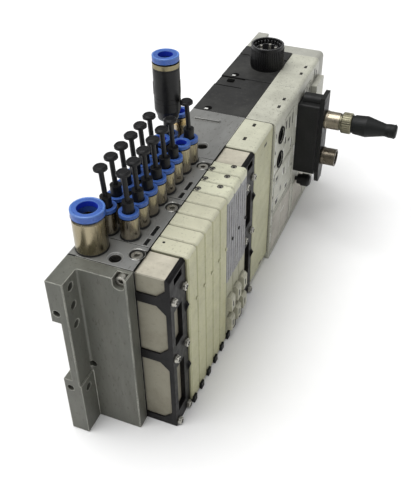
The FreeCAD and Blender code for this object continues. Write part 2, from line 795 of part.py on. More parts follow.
def slices():
    """Five blank covers and three valves with override buttons and pilot plugs."""
    wall = "block_depth + valve_depth"
    button_row = "pitch - valve_gap - button_inset"
    button_height = TOP + " - button_drop"
    for k in range(5):
        body = valve_slice("blank_cover_%d" % (k + 1), k)
        rod(body, wall + " - 1", button_row, button_height, "nub_radius", "nub_out + 1", "out", add=True)
        keep("blank_cover_%d" % (k + 1), body)
    for k in range(5, 8):
        body = valve_slice("valve_%d" % (k - 4), k)
        for column, row in (("screw_in", "screw_near"), ("screw_out", "screw_far")):
            rod(body, "block_depth + " + column, row, TOP + " - screw_head_thick - screw_sink", "screw_hole",
                "screw_head_thick + 1")
            rod(body, "block_depth + " + column, row, TOP + " - screw_length", "screw_shank + slide_gap",
                "screw_length + 1")
        for row in ("flute_one", "flute_two"):
            box(body, wall + " - flute_deep", row, "flute_bottom", "flute_deep + 1", "flute_width",
                TOP + " - flute_drop - flute_bottom")
        rod(body, wall + " - override_length", button_row, button_height,
            "override_radius + slide_gap", "override_length + 1", "out")
        keep("valve_%d" % (k - 4), body)
        length = "override_length + override_out - override_stop"
        button = turned("override_%d" % (k - 4), [("0", "0"), ("override_radius", "0"),
                                                  ("override_radius", length), ("0", length)])
        turn(button, (0, 1, 0), 90)
        keep("override_%d" % (k - 4), place(button, wall + " - override_length + override_stop",
                                            "supply_width + valve_gap / 2 + %d * pitch + " % k + button_row,
                                            button_height))
    points = [("0", "0"), ("pilot_out", "0"), ("pilot_out", "pilot_height - pilot_slope"),
              ("pilot_out - pilot_slope", "pilot_height"), ("0", "pilot_height")]
    plug = along_row("pilot_plug", points, "pilot_width")
    copies("pilot_plugs", plug, [(wall, "supply_width + %d * pitch + pilot_row" % k, height)
                                 for k in range(5, 8) for height in ("pilot_low", "pilot_high")])


def screws():
    """Tie and manifold screws with hexagon sockets, valve screws and silencer screws."""
    cap = turned("cap_screw", [("0", "-tie_length"), ("tie_shank", "-tie_length"), ("tie_shank", "0"),
                               ("tie_head", "0"), ("tie_head", "tie_head_thick"), ("0", "tie_head_thick")])
    hex_pocket(cap, "hex_across", "tie_head_thick", "tie_head_thick / 2")
    end = "-screw_length + screw_head_thick + screw_sink"
    small = turned("valve_screw", [("0", end), ("screw_shank", end), ("screw_shank", "0"),
                                   ("screw_head", "0"), ("screw_head", "screw_head_thick"),
                                   ("0", "screw_head_thick")])
    trim = turned("trim_fastener", [("0", "-trim_length + 0.1"), ("trim_shank", "-trim_length + 0.1"),
                                    ("trim_shank", "0"), ("trim_screw", "0"),
                                    ("trim_screw", "trim_head - trim_bevel"),
                                    ("trim_screw - trim_bevel", "trim_head"), ("0", "trim_head")])
    hex_pocket(trim, "trim_across", "trim_head", "trim_head / 2")
    links = []

    def add(master, x, y, z, rotation=None):
        link = doc.addObject("App::Link", "fastener_%d" % len(links))
        link.LinkedObject = master
        if rotation:
            link.Placement = FreeCAD.Placement(V(0, 0, 0), rotation)
        place(link, x, y, z)
        links.append(link)

    add(cap, NOTCH, "-notch_floor", TOP + " - notch_down", FreeCAD.Rotation(V(1, 0, 0), 90))
    for row in ("supply_pocket_row", BASE_ONE + " + pocket_row", BASE_TWO + " + pocket_row"):
        add(cap, POCKET, row, TOP + " - pocket_deep")
    for k in range(5, 8):
        for column, row in (("screw_in", "screw_near"), ("screw_out", "screw_far")):
            add(small, "block_depth + " + column, "supply_width + valve_gap / 2 + %d * pitch + " % k + row,
                TOP + " - screw_head_thick - screw_sink")
    for start, width in (("0", "supply_width"), (INTERFACE, "silencer_two_width")):
        for row in ("trim_row", width + " - trim_row"):
            for height in (TOP + " - trim_drop", "trim_mid", "trim_low"):
                add(trim, "block_depth + sinter_depth + frame_wall", start + " + " + row, height,
                    FreeCAD.Rotation(V(0, 1, 0), 90))
    group = doc.addObject("Part::Compound", "screws")
    group.Links = links
    keep("screws", group)


def electronics():
    """Interlinking blocks, modules and the power connector."""
    face = "block_depth + module_depth"
    for number, start in ((1, LINK_ONE), (2, LINK_TWO)):
        name = "interlinking_block_%d" % number
        body = slice_block(name, start, "link_width")
        rod(body, "block_depth - link_hole_inset", "link_hole_row", TOP + " - link_hole_deep", "link_hole",
            "link_hole_deep + 1")
        if number == 1:
            box(body, "block_depth - link_hole_inset - link_slot_width / 2",
                "link_slot_row - link_slot_length / 2", TOP + " - link_slot_deep",
                "link_slot_width", "link_slot_length", "link_slot_deep + 1")
            box(body, "-1", "link_step_row", TOP + " - link_step", "block_depth / 2 + 1",
                "link_width - link_step_row + 1", "link_step + 1")
        keep(name, body)
        body = along_row("electronics_module_%d" % number,
                         [("block_depth", "0"), (face, "0"), (face, TOP), ("block_depth + edge_break", TOP),
                          ("block_depth", TOP + " - edge_break")], "link_width")
        round_edges(body, "module_corner", lambda c, e: c.z > SIZES["block_height"] - 0.1
                    and c.x > SIZES["block_depth"] + SIZES["module_depth"] - 0.1)
        for row in ("module_slot_one", "module_slot_two"):
            box(body, "block_depth + module_slot_column", row + " - slot_size", TOP + " - module_slot_deep",
                "slot_size", "2 * slot_size", "module_slot_deep + 1")
        if number == 1:
            for height in (TOP + " - socket_drop", TOP + " - socket_drop - socket_apart"):
                rod(body, face + " - 1", "socket_row", height, "socket_rim", "socket_rim_out + 1",
                    "out", True)
                rod(body, face + " - socket_deep", "socket_row", height, "socket_bore",
                    "socket_deep + socket_rim_out + 1", "out")
        else:
            box(body, face + " - 1", "step_row", "step_bottom", "step_out + 1", "link_width - step_row",
                TOP + " - step_drop - step_bottom", add=True)
            rod(body, face + " + thumb_away - thumb_shank_length - 0.1", "bus_row", FOOT + " + thumb_low",
                "thumb_shank + fit_gap", "thumb_shank_length + 5", "out")
        keep("electronics_module_%d" % number, place(body, y=start))
    shell = turned("power_connector", [("0", "0"), ("power_radius", "0"), ("power_radius", "power_rise"),
                                       ("power_radius - power_wall", "power_rise"),
                                       ("power_radius - power_wall", "power_floor"), ("0", "power_floor")])
    for k in range(5):
        angle = math.radians(90 + 72 * k)
        rod(shell, "%.4f * power_pin_circle" % math.cos(angle), "%.4f * power_pin_circle" % math.sin(angle),
            "power_floor - 1", "power_pin", "power_pin_rise - power_floor + 1", add=True)
    keep("power_connector", place(shell, "block_depth - power_inset", LINK_TWO + " + link_width / 2", TOP))


def bus_adapter():
    """Black housing with shoulder and flange plate, and the thumb screw that holds it."""
    body = new_body("bus_adapter")
    half = "bus_width / 2"
    points = [("-" + half, "bus_bottom"), (half, "bus_bottom"), (half, "bus_top"), ("-" + half, "bus_top")]
    pad(body, outline(body, "YZ_Plane", points), "bus_depth")
    round_edges(body, "bus_round", lambda c, e: abs(c.x - SIZES["bus_depth"] / 2) < 0.1)
    half = "plate_width / 2"
    plate = outline(body, "YZ_Plane", [("-plate_nose / 2", "0"), ("plate_nose / 2", "0"),
                                       (half, "plate_taper"), (half, "plate_top"), ("-" + half, "plate_top"),
                                       ("-" + half, "plate_taper")])
    bind(plate, "AttachmentOffset.Base.z", "bus_depth")
    pad(body, plate, "plate_thick")
    box(body, "shoulder_start", "-shoulder_width / 2", "bus_top - 2", "bus_depth - shoulder_start",
        "shoulder_width", "shoulder_rise + 2", add=True)
    round_edges(body, "shoulder_round", lambda c, e: c.z > SIZES["bus_top"] + SIZES["shoulder_rise"] - 0.1
                and c.x < SIZES["bus_depth"] - 0.5 and abs(c.y) > 1)
    for height in ("port_high", "port_low"):
        rod(body, "bus_depth - port_seat", "0", height, "port_radius - port_wall",
            "plate_thick + port_seat + 1", "out")
    face = "block_depth + module_depth"
    keep("bus_adapter", place(body, face, BUS, FOOT))
    thumb = turned("thumb_screw", [("0", "-thumb_shank_length"), ("thumb_shank", "-thumb_shank_length"),
                                   ("thumb_shank", "0"), ("thumb_radius", "0"),
                                   ("thumb_radius", "thumb_length - thumb_bevel"),
                                   ("thumb_radius - thumb_bevel", "thumb_length"), ("0", "thumb_length")])
    turn(thumb, (0, 1, 0), 90)
    copies("adapter_screws", thumb, [(face + " + thumb_away", BUS, FOOT + " + thumb_low")])


def bus_ports():
    """Two round metal ports, and the cable plug with its knurled coupling nut on the upper one."""
    outer = "block_depth + module_depth + bus_depth + plate_thick"
    bore = "port_radius - port_wall"
    port = turned("bus_port", [(bore + " - slide_gap", "-port_seat"), (bore + " - slide_gap", "0"),
                               ("port_radius", "0"), ("port_radius", "port_length"), (bore, "port_length"),
                               (bore, "port_length - port_deep"), ("0", "port_length - port_deep"),
                               ("0", "-port_seat")])
    turn(port, (0, 1, 0), 90)
    copies("bus_sockets", port, [(outer, BUS, FOOT + " + port_high"), (outer, BUS, FOOT + " + port_low")])
    end = "nut_gap + nut_length"
    shank = bore + " - slide_gap"
    nut = turned("coupling_nut", [("nut_bore", "-nut_shank"), (shank, "-nut_shank"), (shank, "nut_away"),
                                  ("nut_neck", "nut_away"), ("nut_neck", "nut_gap"),
                                  ("nut_radius - nut_bevel", "nut_gap"), ("nut_radius", "nut_gap + nut_bevel"),
                                  ("nut_radius", end + " - nut_bevel"), ("nut_radius - nut_bevel", end),
                                  ("nut_bore", end)])
    for k in range(30):
        angle = math.radians(12 * k)
        rod(nut, "%.4f * (nut_radius + knurl_out)" % math.cos(angle),
            "%.4f * (nut_radius + knurl_out)" % math.sin(angle), "nut_gap - 1",
            "knurl_radius", "nut_length + 2")
    turn(nut, (0, 1, 0), 90)
    keep("coupling_nut", place(nut, outer + " + port_length", BUS, FOOT + " + port_high"))
    back = end + " + plug_away"
    plug = turned("cable_plug", [("0", "-port_deep + fit_gap"), ("insert_radius", "-port_deep + fit_gap"),
                                 ("insert_radius", back), ("plug_neck", back),
                                 ("plug_neck", back + " + plug_neck_length"),
                                 ("plug_start", back + " + plug_neck_length"),
                                 ("plug_belly", back + " + plug_belly_at"),
                                 ("plug_waist", back + " + plug_waist_at"),
                                 ("plug_end", back + " + plug_end_at"),
                                 ("plug_end", back + " + plug_length - plug_bevel"),
                                 ("plug_end - plug_bevel", back + " + plug_length"),
                                 ("0", back + " + plug_length")])
    turn(plug, (0, 1, 0), 90)
    keep("cable_plug", place(plug, outer + " + port_length", BUS, FOOT + " + port_high"))


front_end_plate()
rear_end_plate()
aluminium_row()
fittings()
rings()
plugs()
silencer(1, "0", "supply_width")
silencer(2, INTERFACE, "silencer_two_width")
interface_cover()
slices()
screws()
electronics()
bus_adapter()
bus_ports()
doc.recompute()

# Every object must be sound before anything is written
for item in doc.Objects:
    if "Invalid" in item.State or "Error" in item.State:
        raise RuntimeError("%s failed: %s" % (item.Name, item.State))
for name, item in nodes.items():
    if item.Shape.isNull() or not item.Shape.isValid() or item.Shape.Volume <= 0:
        raise RuntimeError(name + " has no sound shape")

os.makedirs("parts", exist_ok=True)
for name, item in sorted(nodes.items()):
    item.Shape.exportStep("parts/%s.step" % name)
print(len(nodes), "sub-parts written")
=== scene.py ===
"""Looks of the valve island: finishes, small pieces, the stage and the camera."""

import bpy
import math
from mathutils import Matrix, Vector


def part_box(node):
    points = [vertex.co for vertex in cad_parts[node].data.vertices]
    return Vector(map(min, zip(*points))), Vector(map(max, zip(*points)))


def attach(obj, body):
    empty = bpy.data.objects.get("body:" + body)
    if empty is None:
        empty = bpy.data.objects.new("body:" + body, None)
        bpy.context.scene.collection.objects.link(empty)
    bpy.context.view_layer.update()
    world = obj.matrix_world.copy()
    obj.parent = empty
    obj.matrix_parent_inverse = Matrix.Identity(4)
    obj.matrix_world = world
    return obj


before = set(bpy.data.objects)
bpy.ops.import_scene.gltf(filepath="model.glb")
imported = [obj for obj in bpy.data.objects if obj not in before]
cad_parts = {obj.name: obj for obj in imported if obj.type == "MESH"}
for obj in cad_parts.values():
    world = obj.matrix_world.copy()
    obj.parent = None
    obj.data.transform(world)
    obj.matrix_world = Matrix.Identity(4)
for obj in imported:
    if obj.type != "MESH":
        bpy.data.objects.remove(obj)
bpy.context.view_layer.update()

bl_info = {
    "name": "Valve island looks",
    "version": (1, 0, 0),
    "blender": (4, 5, 0),
    "location": "3D View > Sidebar > Valve island",
    "description": "Dresses a pneumatic valve island and sets its stage",
    "category": "Object",
}

# X runs out from the wall, Y along the row of slices and Z up. Lengths are in metres.
MM = 0.001
SEAM, PLATE_END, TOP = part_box("supply_plate")[1]  # covers meet slices, end of the plate, upper face
MODULE_FACE = SEAM + 20 * MM  # plain front of the electronics modules

# Distances on the product that more than one piece uses
VALVE_PITCH = 10.5 * MM
PORT_DROP = Vector((0, 0, -28.6 * MM))  # from the upper round port to the lower one
SOCKET_DROP = Vector((0, 0, -17.9 * MM))  # the same on the first module
INSERT_COLUMN = SEAM - 26.6 * MM
BLOCK_STEP = 36.6 * MM  # from the front of an interlinking block to the step on its top

# Release rings of the valve ports: all, those with nothing in them, and those with a blanking plug
RINGS = ["ring_%s%d" % (side, k) for side in "lr" for k in range(1, 9)]
OPEN_RINGS = ("ring_l7", "ring_r7")
PLUGGED_RINGS = [ring for ring in RINGS if ring not in (*OPEN_RINGS, "ring_l8")]

# Marks on the face of the first module, in millimetres: distance along the row and height of the
# lower corner, then width and height
WINDOWS = (
    (6.5, 60.5, 4.5, 2.6), (8.5, 40.5, 4.6, 3.4), (30.4, 40, 4.2, 3), (1.2, 74.4, 2.6, 1.6),
    (29.8, 78, 4, 2), (22.5, 91, 2.4, 6), (22.5, 80, 2.4, 5), (30, 88, 2.2, 8), (37, 88, 2.2, 8),
    (37, 70, 2.4, 6), (42, 52, 3.4, 2), (24, 20, 5, 1.6), (63, 95, 2.6, 5), (70, 90, 2.2, 9),
    (76, 88, 3, 7), (88, 96, 2.4, 8), (93, 92, 2.4, 9), (1.4, 96, 1.2, 3), (1.2, 84, 1.6, 2),
    (1.4, 64, 1.4, 2.6), (1.2, 50, 1.6, 2), (1.2, 39, 1.4, 3), (1.4, 26, 1.2, 2), (18, 46, 1.6, 4),
    (24, 56, 1.8, 5))
# Raised ribs on the face, whose white stands for painted glints
GLINT_RIBS = (
    (0.5, 88, 0.7, 6), (0.5, 77, 0.7, 5), (0.5, 67, 0.7, 6), (0.5, 54, 0.7, 8), (0.5, 42, 0.7, 6),
    (0.5, 29, 0.7, 7), (0.5, 14, 0.7, 8), (3.6, 71, 3, 0.7), (19.4, 70, 0.8, 9), (19.4, 84, 0.8, 8),
    (21, 57, 0.8, 7), (5.4, 58, 6, 0.7), (7.4, 44.8, 7, 0.7), (28, 44.5, 7, 0.7),
    (28.4, 54, 0.8, 8), (35.4, 55, 0.8, 9), (35.6, 72, 0.8, 6), (23, 25, 8, 0.7),
    (46.4, 58, 0.8, 8), (46.4, 80, 0.8, 9))
LABEL_FRAMES = (
    (20.5, 66, 19, 34), (2.5, 37, 42, 31), (2, 3, 44, 32), (52, 3, 30, 28), (62, 62, 17, 38))
FRAME_BAR = 0.8
LABELS = ((4, 5, 18, 28), (24, 5, 20, 28), (54, 5, 26, 24))


# Places


def centre(node):
    """Middle of a node's box."""
    low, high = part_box(node)
    return (low + high) / 2


def over(node, height):
    """Place at a height in line with the middle of a node."""
    place = centre(node)
    place.z = height
    return place


def round_of(node):
    """Radius of a round upright node."""
    low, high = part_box(node)
    return (high.x - low.x) / 2


def row_start(node):
    """Where a node begins along the row."""
    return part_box(node)[0].y


def at(x, y, z=TOP):
    """Place on the upper face of the slices, or at another height."""
    return Vector((x, y, z))


def mm(*step):
    """Step given in millimetres."""
    return Vector(step) * MM


# Settings


class IslandSizes(bpy.types.PropertyGroup):
    """Sizes of the pieces that the looks add."""

    seal_tube: bpy.props.FloatProperty(
        name="O-ring thickness", description="Half thickness of the O-ring under each fitting",
        default=0.55 * MM, unit="LENGTH")
    collar_skin: bpy.props.FloatProperty(
        name="Collar skin", description="How far the metal collars stand proud",
        default=0.12 * MM, unit="LENGTH")
    thread_pitch: bpy.props.FloatProperty(
        name="Thread pitch", description="Distance between the ridges of a thread",
        default=0.9 * MM, unit="LENGTH")
    connector_ribs: bpy.props.IntProperty(
        name="Connector ribs", description="Number of ribs round the power connector", default=48)
    connector_teeth: bpy.props.IntProperty(
        name="Connector teeth", description="Number of teeth inside the power connector",
        default=24)
    lens: bpy.props.FloatProperty(
        name="Lens", description="Focal length of the view in millimetres", default=53.885)


class IslandColours(bpy.types.PropertyGroup):
    """Main colours of the finishes."""

    aluminium: bpy.props.FloatVectorProperty(
        name="Aluminium", description="Bare worn aluminium of the slices", subtype="COLOR",
        default=(0.255, 0.257, 0.247))
    casting: bpy.props.FloatVectorProperty(
        name="Casting", description="Darker cast metal of the front end plate", subtype="COLOR",
        default=(0.125, 0.128, 0.108))
    nickel: bpy.props.FloatVectorProperty(
        name="Nickel", description="Warm nickel plating of the fittings", subtype="COLOR",
        default=(0.44, 0.39, 0.305))
    cream: bpy.props.FloatVectorProperty(
        name="Cream covers", description="Yellowed plastic of the covers", subtype="COLOR",
        default=(0.485, 0.475, 0.29))
    module: bpy.props.FloatVectorProperty(
        name="Module plastic", description="Light plastic of the electronics modules",
        subtype="COLOR", default=(0.50, 0.50, 0.42))
    valve: bpy.props.FloatVectorProperty(
        name="Valve plastic", description="Bluish grey plastic of the valve bodies",
        subtype="COLOR", default=(0.29, 0.29, 0.305))
    ring: bpy.props.FloatVectorProperty(
        name="Release rings", description="Blue plastic of the release rings", subtype="COLOR",
        default=(0.050, 0.125, 0.43))
    black: bpy.props.FloatVectorProperty(
        name="Black plastic", description="Black plastic of plugs and frames", subtype="COLOR",
        default=(0.008, 0.008, 0.0085))
    sinter: bpy.props.FloatVectorProperty(
        name="Silencer", description="Pale porous silencer block", subtype="COLOR",
        default=(0.50, 0.47, 0.385))


# Finishes

# Colour of dirt, also used for the painted shade in corners and creases
DIRT_AND_SHADE = (0.055, 0.048, 0.036)
CLOUD_RANGE = (0.3, 0.7)  # holds nearly all values of a noise
SPECK_RANGE = (0.62, 0.70)  # only the peaks of a noise
STAIN_RANGE = (0.46, 0.72)  # broad patches of a noise
CHIP_RANGE = (0.35, 0.6)
CHIP_SIZE = 5 * MM
CORNER_RANGE = (0.35, 0.85)  # openness between a tight corner and an open face
CORNER_SIZE = 1.8 * MM
EDGE_RANGE = (0.90, 0.995)  # how far the rounded normal agrees with the flat one near an edge
ZONE_FADE = 0.1 * MM
LEAST_GRAIN = 0.002  # depth in millimetres
LEAST_ROUGH = 0.05
ROUGH_SPREAD = 0.1
GLOSS_FINER = 2.5  # patches of gloss are this much smaller than those of colour


def cloud(tree, vector, size, detail=4.0, rough=0.55):
    """Noise of a given patch size in metres."""
    noise = tree.nodes.new("ShaderNodeTexNoise")
    noise.inputs["Scale"].default_value = 1 / size
    noise.inputs["Detail"].default_value = detail
    noise.inputs["Roughness"].default_value = rough
    tree.links.new(vector, noise.inputs["Vector"])
    return noise.outputs["Fac"]


def span(tree, value, source, target):
    """Value stretched from one range to another, and held inside it."""
    stretch = tree.nodes.new("ShaderNodeMapRange")
    for name, number in zip(("From Min", "From Max", "To Min", "To Max"), (*source, *target)):
        stretch.inputs[name].default_value = number
    tree.links.new(value, stretch.inputs["Value"])
    return stretch.outputs["Result"]


def combine(tree, operation, first, second):
    """Two values added or multiplied."""
    result = tree.nodes.new("ShaderNodeMath")
    result.operation = operation
    tree.links.new(first, result.inputs[0])
    tree.links.new(second, result.inputs[1])
    return result.outputs["Value"]


def blend(tree, factor, first, second):
    """Mix of two colours, each a socket or a plain colour."""
    mix = tree.nodes.new("ShaderNodeMix")
    mix.data_type = "RGBA"
    tree.links.new(factor, mix.inputs["Factor"])
    for socket, value in (("A", first), ("B", second)):
        target = [s for s in mix.inputs if s.name == socket and s.type == "RGBA"][0]
        if isinstance(value, bpy.types.NodeSocket):
            tree.links.new(value, target)
        else:
            target.default_value = (*value, 1)
    return [s for s in mix.outputs if s.type == "RGBA"][0]


def worn_and_highlit_edges(tree, tone, vector, relief, width, wear_and_highlight, bare_and_highlight):
    """Tone with the bare colour on broken edges, partly real wear and partly painted highlight, whose
    rounding also goes into the relief.
    """
    rounding = tree.nodes.new("ShaderNodeBevel")
    rounding.samples = 4
    rounding.inputs["Radius"].default_value = width
    facing = tree.nodes.new("ShaderNodeNewGeometry")
    turn = tree.nodes.new("ShaderNodeVectorMath")
    turn.operation = "DOT_PRODUCT"
    tree.links.new(rounding.outputs["Normal"], turn.inputs[0])
    tree.links.new(facing.outputs["Normal"], turn.inputs[1])
    tree.links.new(rounding.outputs["Normal"], relief.inputs["Normal"])
    edge = span(tree, turn.outputs["Value"], EDGE_RANGE, (wear_and_highlight, 0))
    chips = span(tree, cloud(tree, vector, CHIP_SIZE, detail=6.0), CHIP_RANGE, (0.25, 1))
    return blend(tree, combine(tree, "MULTIPLY", edge, chips), tone, bare_and_highlight)


def finish(name, colour, rough, metal=0.0, mottle=0.10, patch=12 * MM, speck=0.0,
           speck_size=1.1 * MM, grime=0.0, grime_size=25 * MM, dirt_and_shade=DIRT_AND_SHADE, crevice_shade=0.0, wear_and_highlight=0.0,
           bare_and_highlight=(0.5, 0.5, 0.47), edge=0.4, bump=0.0, grain=0.6 * MM, shine=0.5,
           streak=(1, 1, 1), zones=()):
    """Shader with mottled colour, specks, grime in patches, painted shade in corners, worn edges with
    painted highlight, and fine grain.

    Bump is the depth of the grain and edge the width of the worn and highlit edges, both in
    millimetres.
    Streak stretches the patterns along the axes. Zones are (low height, high height, colour).
    """
    material = bpy.data.materials.new(name)
    material.use_nodes = True
    tree = material.node_tree
    skin = tree.nodes["Principled BSDF"]
    place = tree.nodes.new("ShaderNodeTexCoord")
    mapping = tree.nodes.new("ShaderNodeMapping")
    mapping.inputs["Scale"].default_value = streak
    tree.links.new(place.outputs["Object"], mapping.inputs["Vector"])
    vector = mapping.outputs["Vector"]
    tone = blend(tree, span(tree, cloud(tree, vector, patch), CLOUD_RANGE, (0, 1)),
                 [c * (1 - mottle) for c in colour], [min(1, c * (1 + mottle)) for c in colour])
    if zones:
        parts = tree.nodes.new("ShaderNodeSeparateXYZ")
        tree.links.new(place.outputs["Object"], parts.inputs["Vector"])
    for low, high, other in zones:
        above = span(tree, parts.outputs["Z"], (low, low + ZONE_FADE), (0, 1))
        below = span(tree, parts.outputs["Z"], (high, high + ZONE_FADE), (1, 0))
        tone = blend(tree, combine(tree, "MULTIPLY", above, below), tone, other)
    if speck:
        spots = cloud(tree, vector, speck_size, detail=2.0)
        tone = blend(tree, span(tree, spots, SPECK_RANGE, (0, speck)), tone, dirt_and_shade)
    if grime:
        stain = cloud(tree, vector, grime_size, detail=9.0, rough=0.72)
        tone = blend(tree, span(tree, stain, STAIN_RANGE, (0, grime)), tone, dirt_and_shade)
    # Painted shade, with some crevice dirt: ambient occlusion darkens corners, creases and gaps
    # between parts towards the dirt colour
    if crevice_shade:
        corner = tree.nodes.new("ShaderNodeAmbientOcclusion")
        corner.samples = 6
        corner.inputs["Distance"].default_value = CORNER_SIZE
        tone = blend(tree, span(tree, corner.outputs["AO"], CORNER_RANGE, (crevice_shade, 0)), tone, dirt_and_shade)
    relief = tree.nodes.new("ShaderNodeBump")
    relief.inputs["Strength"].default_value = 1.0
    relief.inputs["Distance"].default_value = max(bump, LEAST_GRAIN) * MM
    tree.links.new(cloud(tree, vector, grain, detail=3.0), relief.inputs["Height"])
    # Edges lightened towards the bare colour: partly real wear, partly painted highlight
    if wear_and_highlight:
        tone = worn_and_highlit_edges(tree, tone, vector, relief, edge * MM, wear_and_highlight, bare_and_highlight)
    gloss = span(tree, cloud(tree, vector, patch / GLOSS_FINER), CLOUD_RANGE,
                 (max(LEAST_ROUGH, rough - ROUGH_SPREAD), min(1, rough + ROUGH_SPREAD)))
    tree.links.new(tone, skin.inputs["Base Color"])
    tree.links.new(gloss, skin.inputs["Roughness"])
    tree.links.new(relief.outputs["Normal"], skin.inputs["Normal"])
    skin.inputs["Metallic"].default_value = metal
    skin.inputs["Specular IOR Level"].default_value = shine
    return material


def made(name):
    """Finish that an earlier step has made."""
    return bpy.data.materials[name]


def dress(material, *names):
    """Give a finish to CAD nodes."""
    for name in names:
        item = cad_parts[name]
        item.data.materials.clear()
        item.data.materials.append(material)


# Modelling

SOFT_EDGE = 0.15 * MM
SMOOTH_BELOW = math.radians(35)
TUBE_SIDES = 64
WELD = 0.002 * MM


def release():
    """Nothing selected, object mode."""
    if bpy.context.object and bpy.context.object.mode != "OBJECT":
        bpy.ops.object.mode_set(mode="OBJECT")
    bpy.ops.object.select_all(action="DESELECT")


def pick(piece):
    """Only this piece selected and active."""
    release()
    piece.select_set(True)
    bpy.context.view_layer.objects.active = piece


def settle(piece, name, material, body="island"):
    """Name a piece, put its place into its mesh, and let it ride."""
    pick(piece)
    bpy.ops.object.transform_apply(location=True, rotation=True, scale=True)
    piece.name = name
    piece.data.materials.clear()
    piece.data.materials.append(material)
    bpy.ops.object.shade_smooth_by_angle(angle=SMOOTH_BELOW)
    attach(piece, body)


def join(pieces):
    """Join copies into one object."""
    release()
    for piece in pieces:
        piece.select_set(True)
    bpy.context.view_layer.objects.active = pieces[0]
    if len(pieces) > 1:
        bpy.ops.object.join()
    return bpy.context.object


def soften(piece, width):
    """Round the sharp edges of a piece."""
    pick(piece)
    edge = piece.modifiers.new("edge", "BEVEL")
    edge.width = width
    edge.segments = 2
    edge.limit_method = "ANGLE"
    bpy.ops.object.modifier_apply(modifier="edge")
    return piece


def block(low, high, width=SOFT_EDGE):
    """Block between two corners, with softened edges."""
    release()
    bpy.ops.mesh.primitive_cube_add(size=1, location=(low + high) / 2)
    piece = bpy.context.object
    piece.scale = high - low
    bpy.ops.object.transform_apply(location=False, rotation=False, scale=True)
    return soften(piece, width)


def cylinder(place, radius, depth, out, sides, ends):
    """Plain cylinder that stands at a place, or lies along X from it."""
    release()
    shift = Vector((depth / 2, 0, 0)) if out else Vector((0, 0, depth / 2))
    bpy.ops.mesh.primitive_cylinder_add(
        vertices=sides, radius=radius, depth=depth, end_fill_type=ends, location=place + shift,
        rotation=(0, math.pi / 2 if out else 0, 0))
    return bpy.context.object


def rod(place, radius, depth, out=False, sides=48, width=SOFT_EDGE):
    """Round bar with softened rims."""
    return soften(cylinder(place, radius, depth, out, sides, "NGON"), width)


def tube(place, radius, wall, depth, out=False):
    """Open tube whose wall grows inwards from a radius."""
    piece = cylinder(place, radius, depth, out, TUBE_SIDES, "NOTHING")
    skin = piece.modifiers.new("wall", "SOLIDIFY")
    skin.thickness = wall
    bpy.ops.object.modifier_apply(modifier="wall")
    return piece


def hoop(place, radius, thick, out=False, steps=48, sides=8):
    """Ring of round section, spun from a small circle."""
    release()
    side = Vector((0, radius, 0)) if out else Vector((radius, 0, 0))
    bpy.ops.mesh.primitive_circle_add(vertices=sides, radius=thick, location=place + side,
                                      rotation=(0, 0, 0) if out else (math.pi / 2, 0, 0))
    bpy.ops.object.mode_set(mode="EDIT")
    bpy.ops.mesh.select_all(action="SELECT")
    bpy.ops.mesh.spin(steps=steps, angle=math.tau, center=place,
                      axis=(1, 0, 0) if out else (0, 0, 1))
    bpy.ops.mesh.select_all(action="SELECT")
    bpy.ops.mesh.remove_doubles(threshold=WELD)
    bpy.ops.mesh.normals_make_consistent(inside=False)
    bpy.ops.object.mode_set(mode="OBJECT")
    bpy.ops.object.transform_apply(location=False, rotation=True, scale=False)
    bpy.ops.object.origin_set(type="ORIGIN_GEOMETRY", center="BOUNDS")
    return bpy.context.object


def repeat(piece, steps):
    """The piece with copies moved by each of the steps."""
    pieces = [piece]
    for step in steps:
        pick(piece)
        bpy.ops.object.duplicate()
        bpy.context.object.location += step
        pieces.append(bpy.context.object)
    return join(pieces)


def around(piece, middle, axis, count):
    """The piece with copies turned about an axis through a middle."""
    pieces = [piece]
    for k in range(1, count):
        pick(piece)
        bpy.ops.object.duplicate()
        bpy.ops.transform.rotate(value=math.tau * k / count, orient_axis=axis,
                                 center_override=middle)
        pieces.append(bpy.context.object)
    return join(pieces)


def on_face(marks, sunk, proud, width):
    """Blocks on the face of the first module, one for each mark."""
    corner = at(MODULE_FACE, row_start("electronics_module_1"), 0)
    return [block(corner + mm(-sunk, row, high), corner + mm(proud, row + wide, high + tall), width)
            for row, high, wide, tall in marks]


# Steps


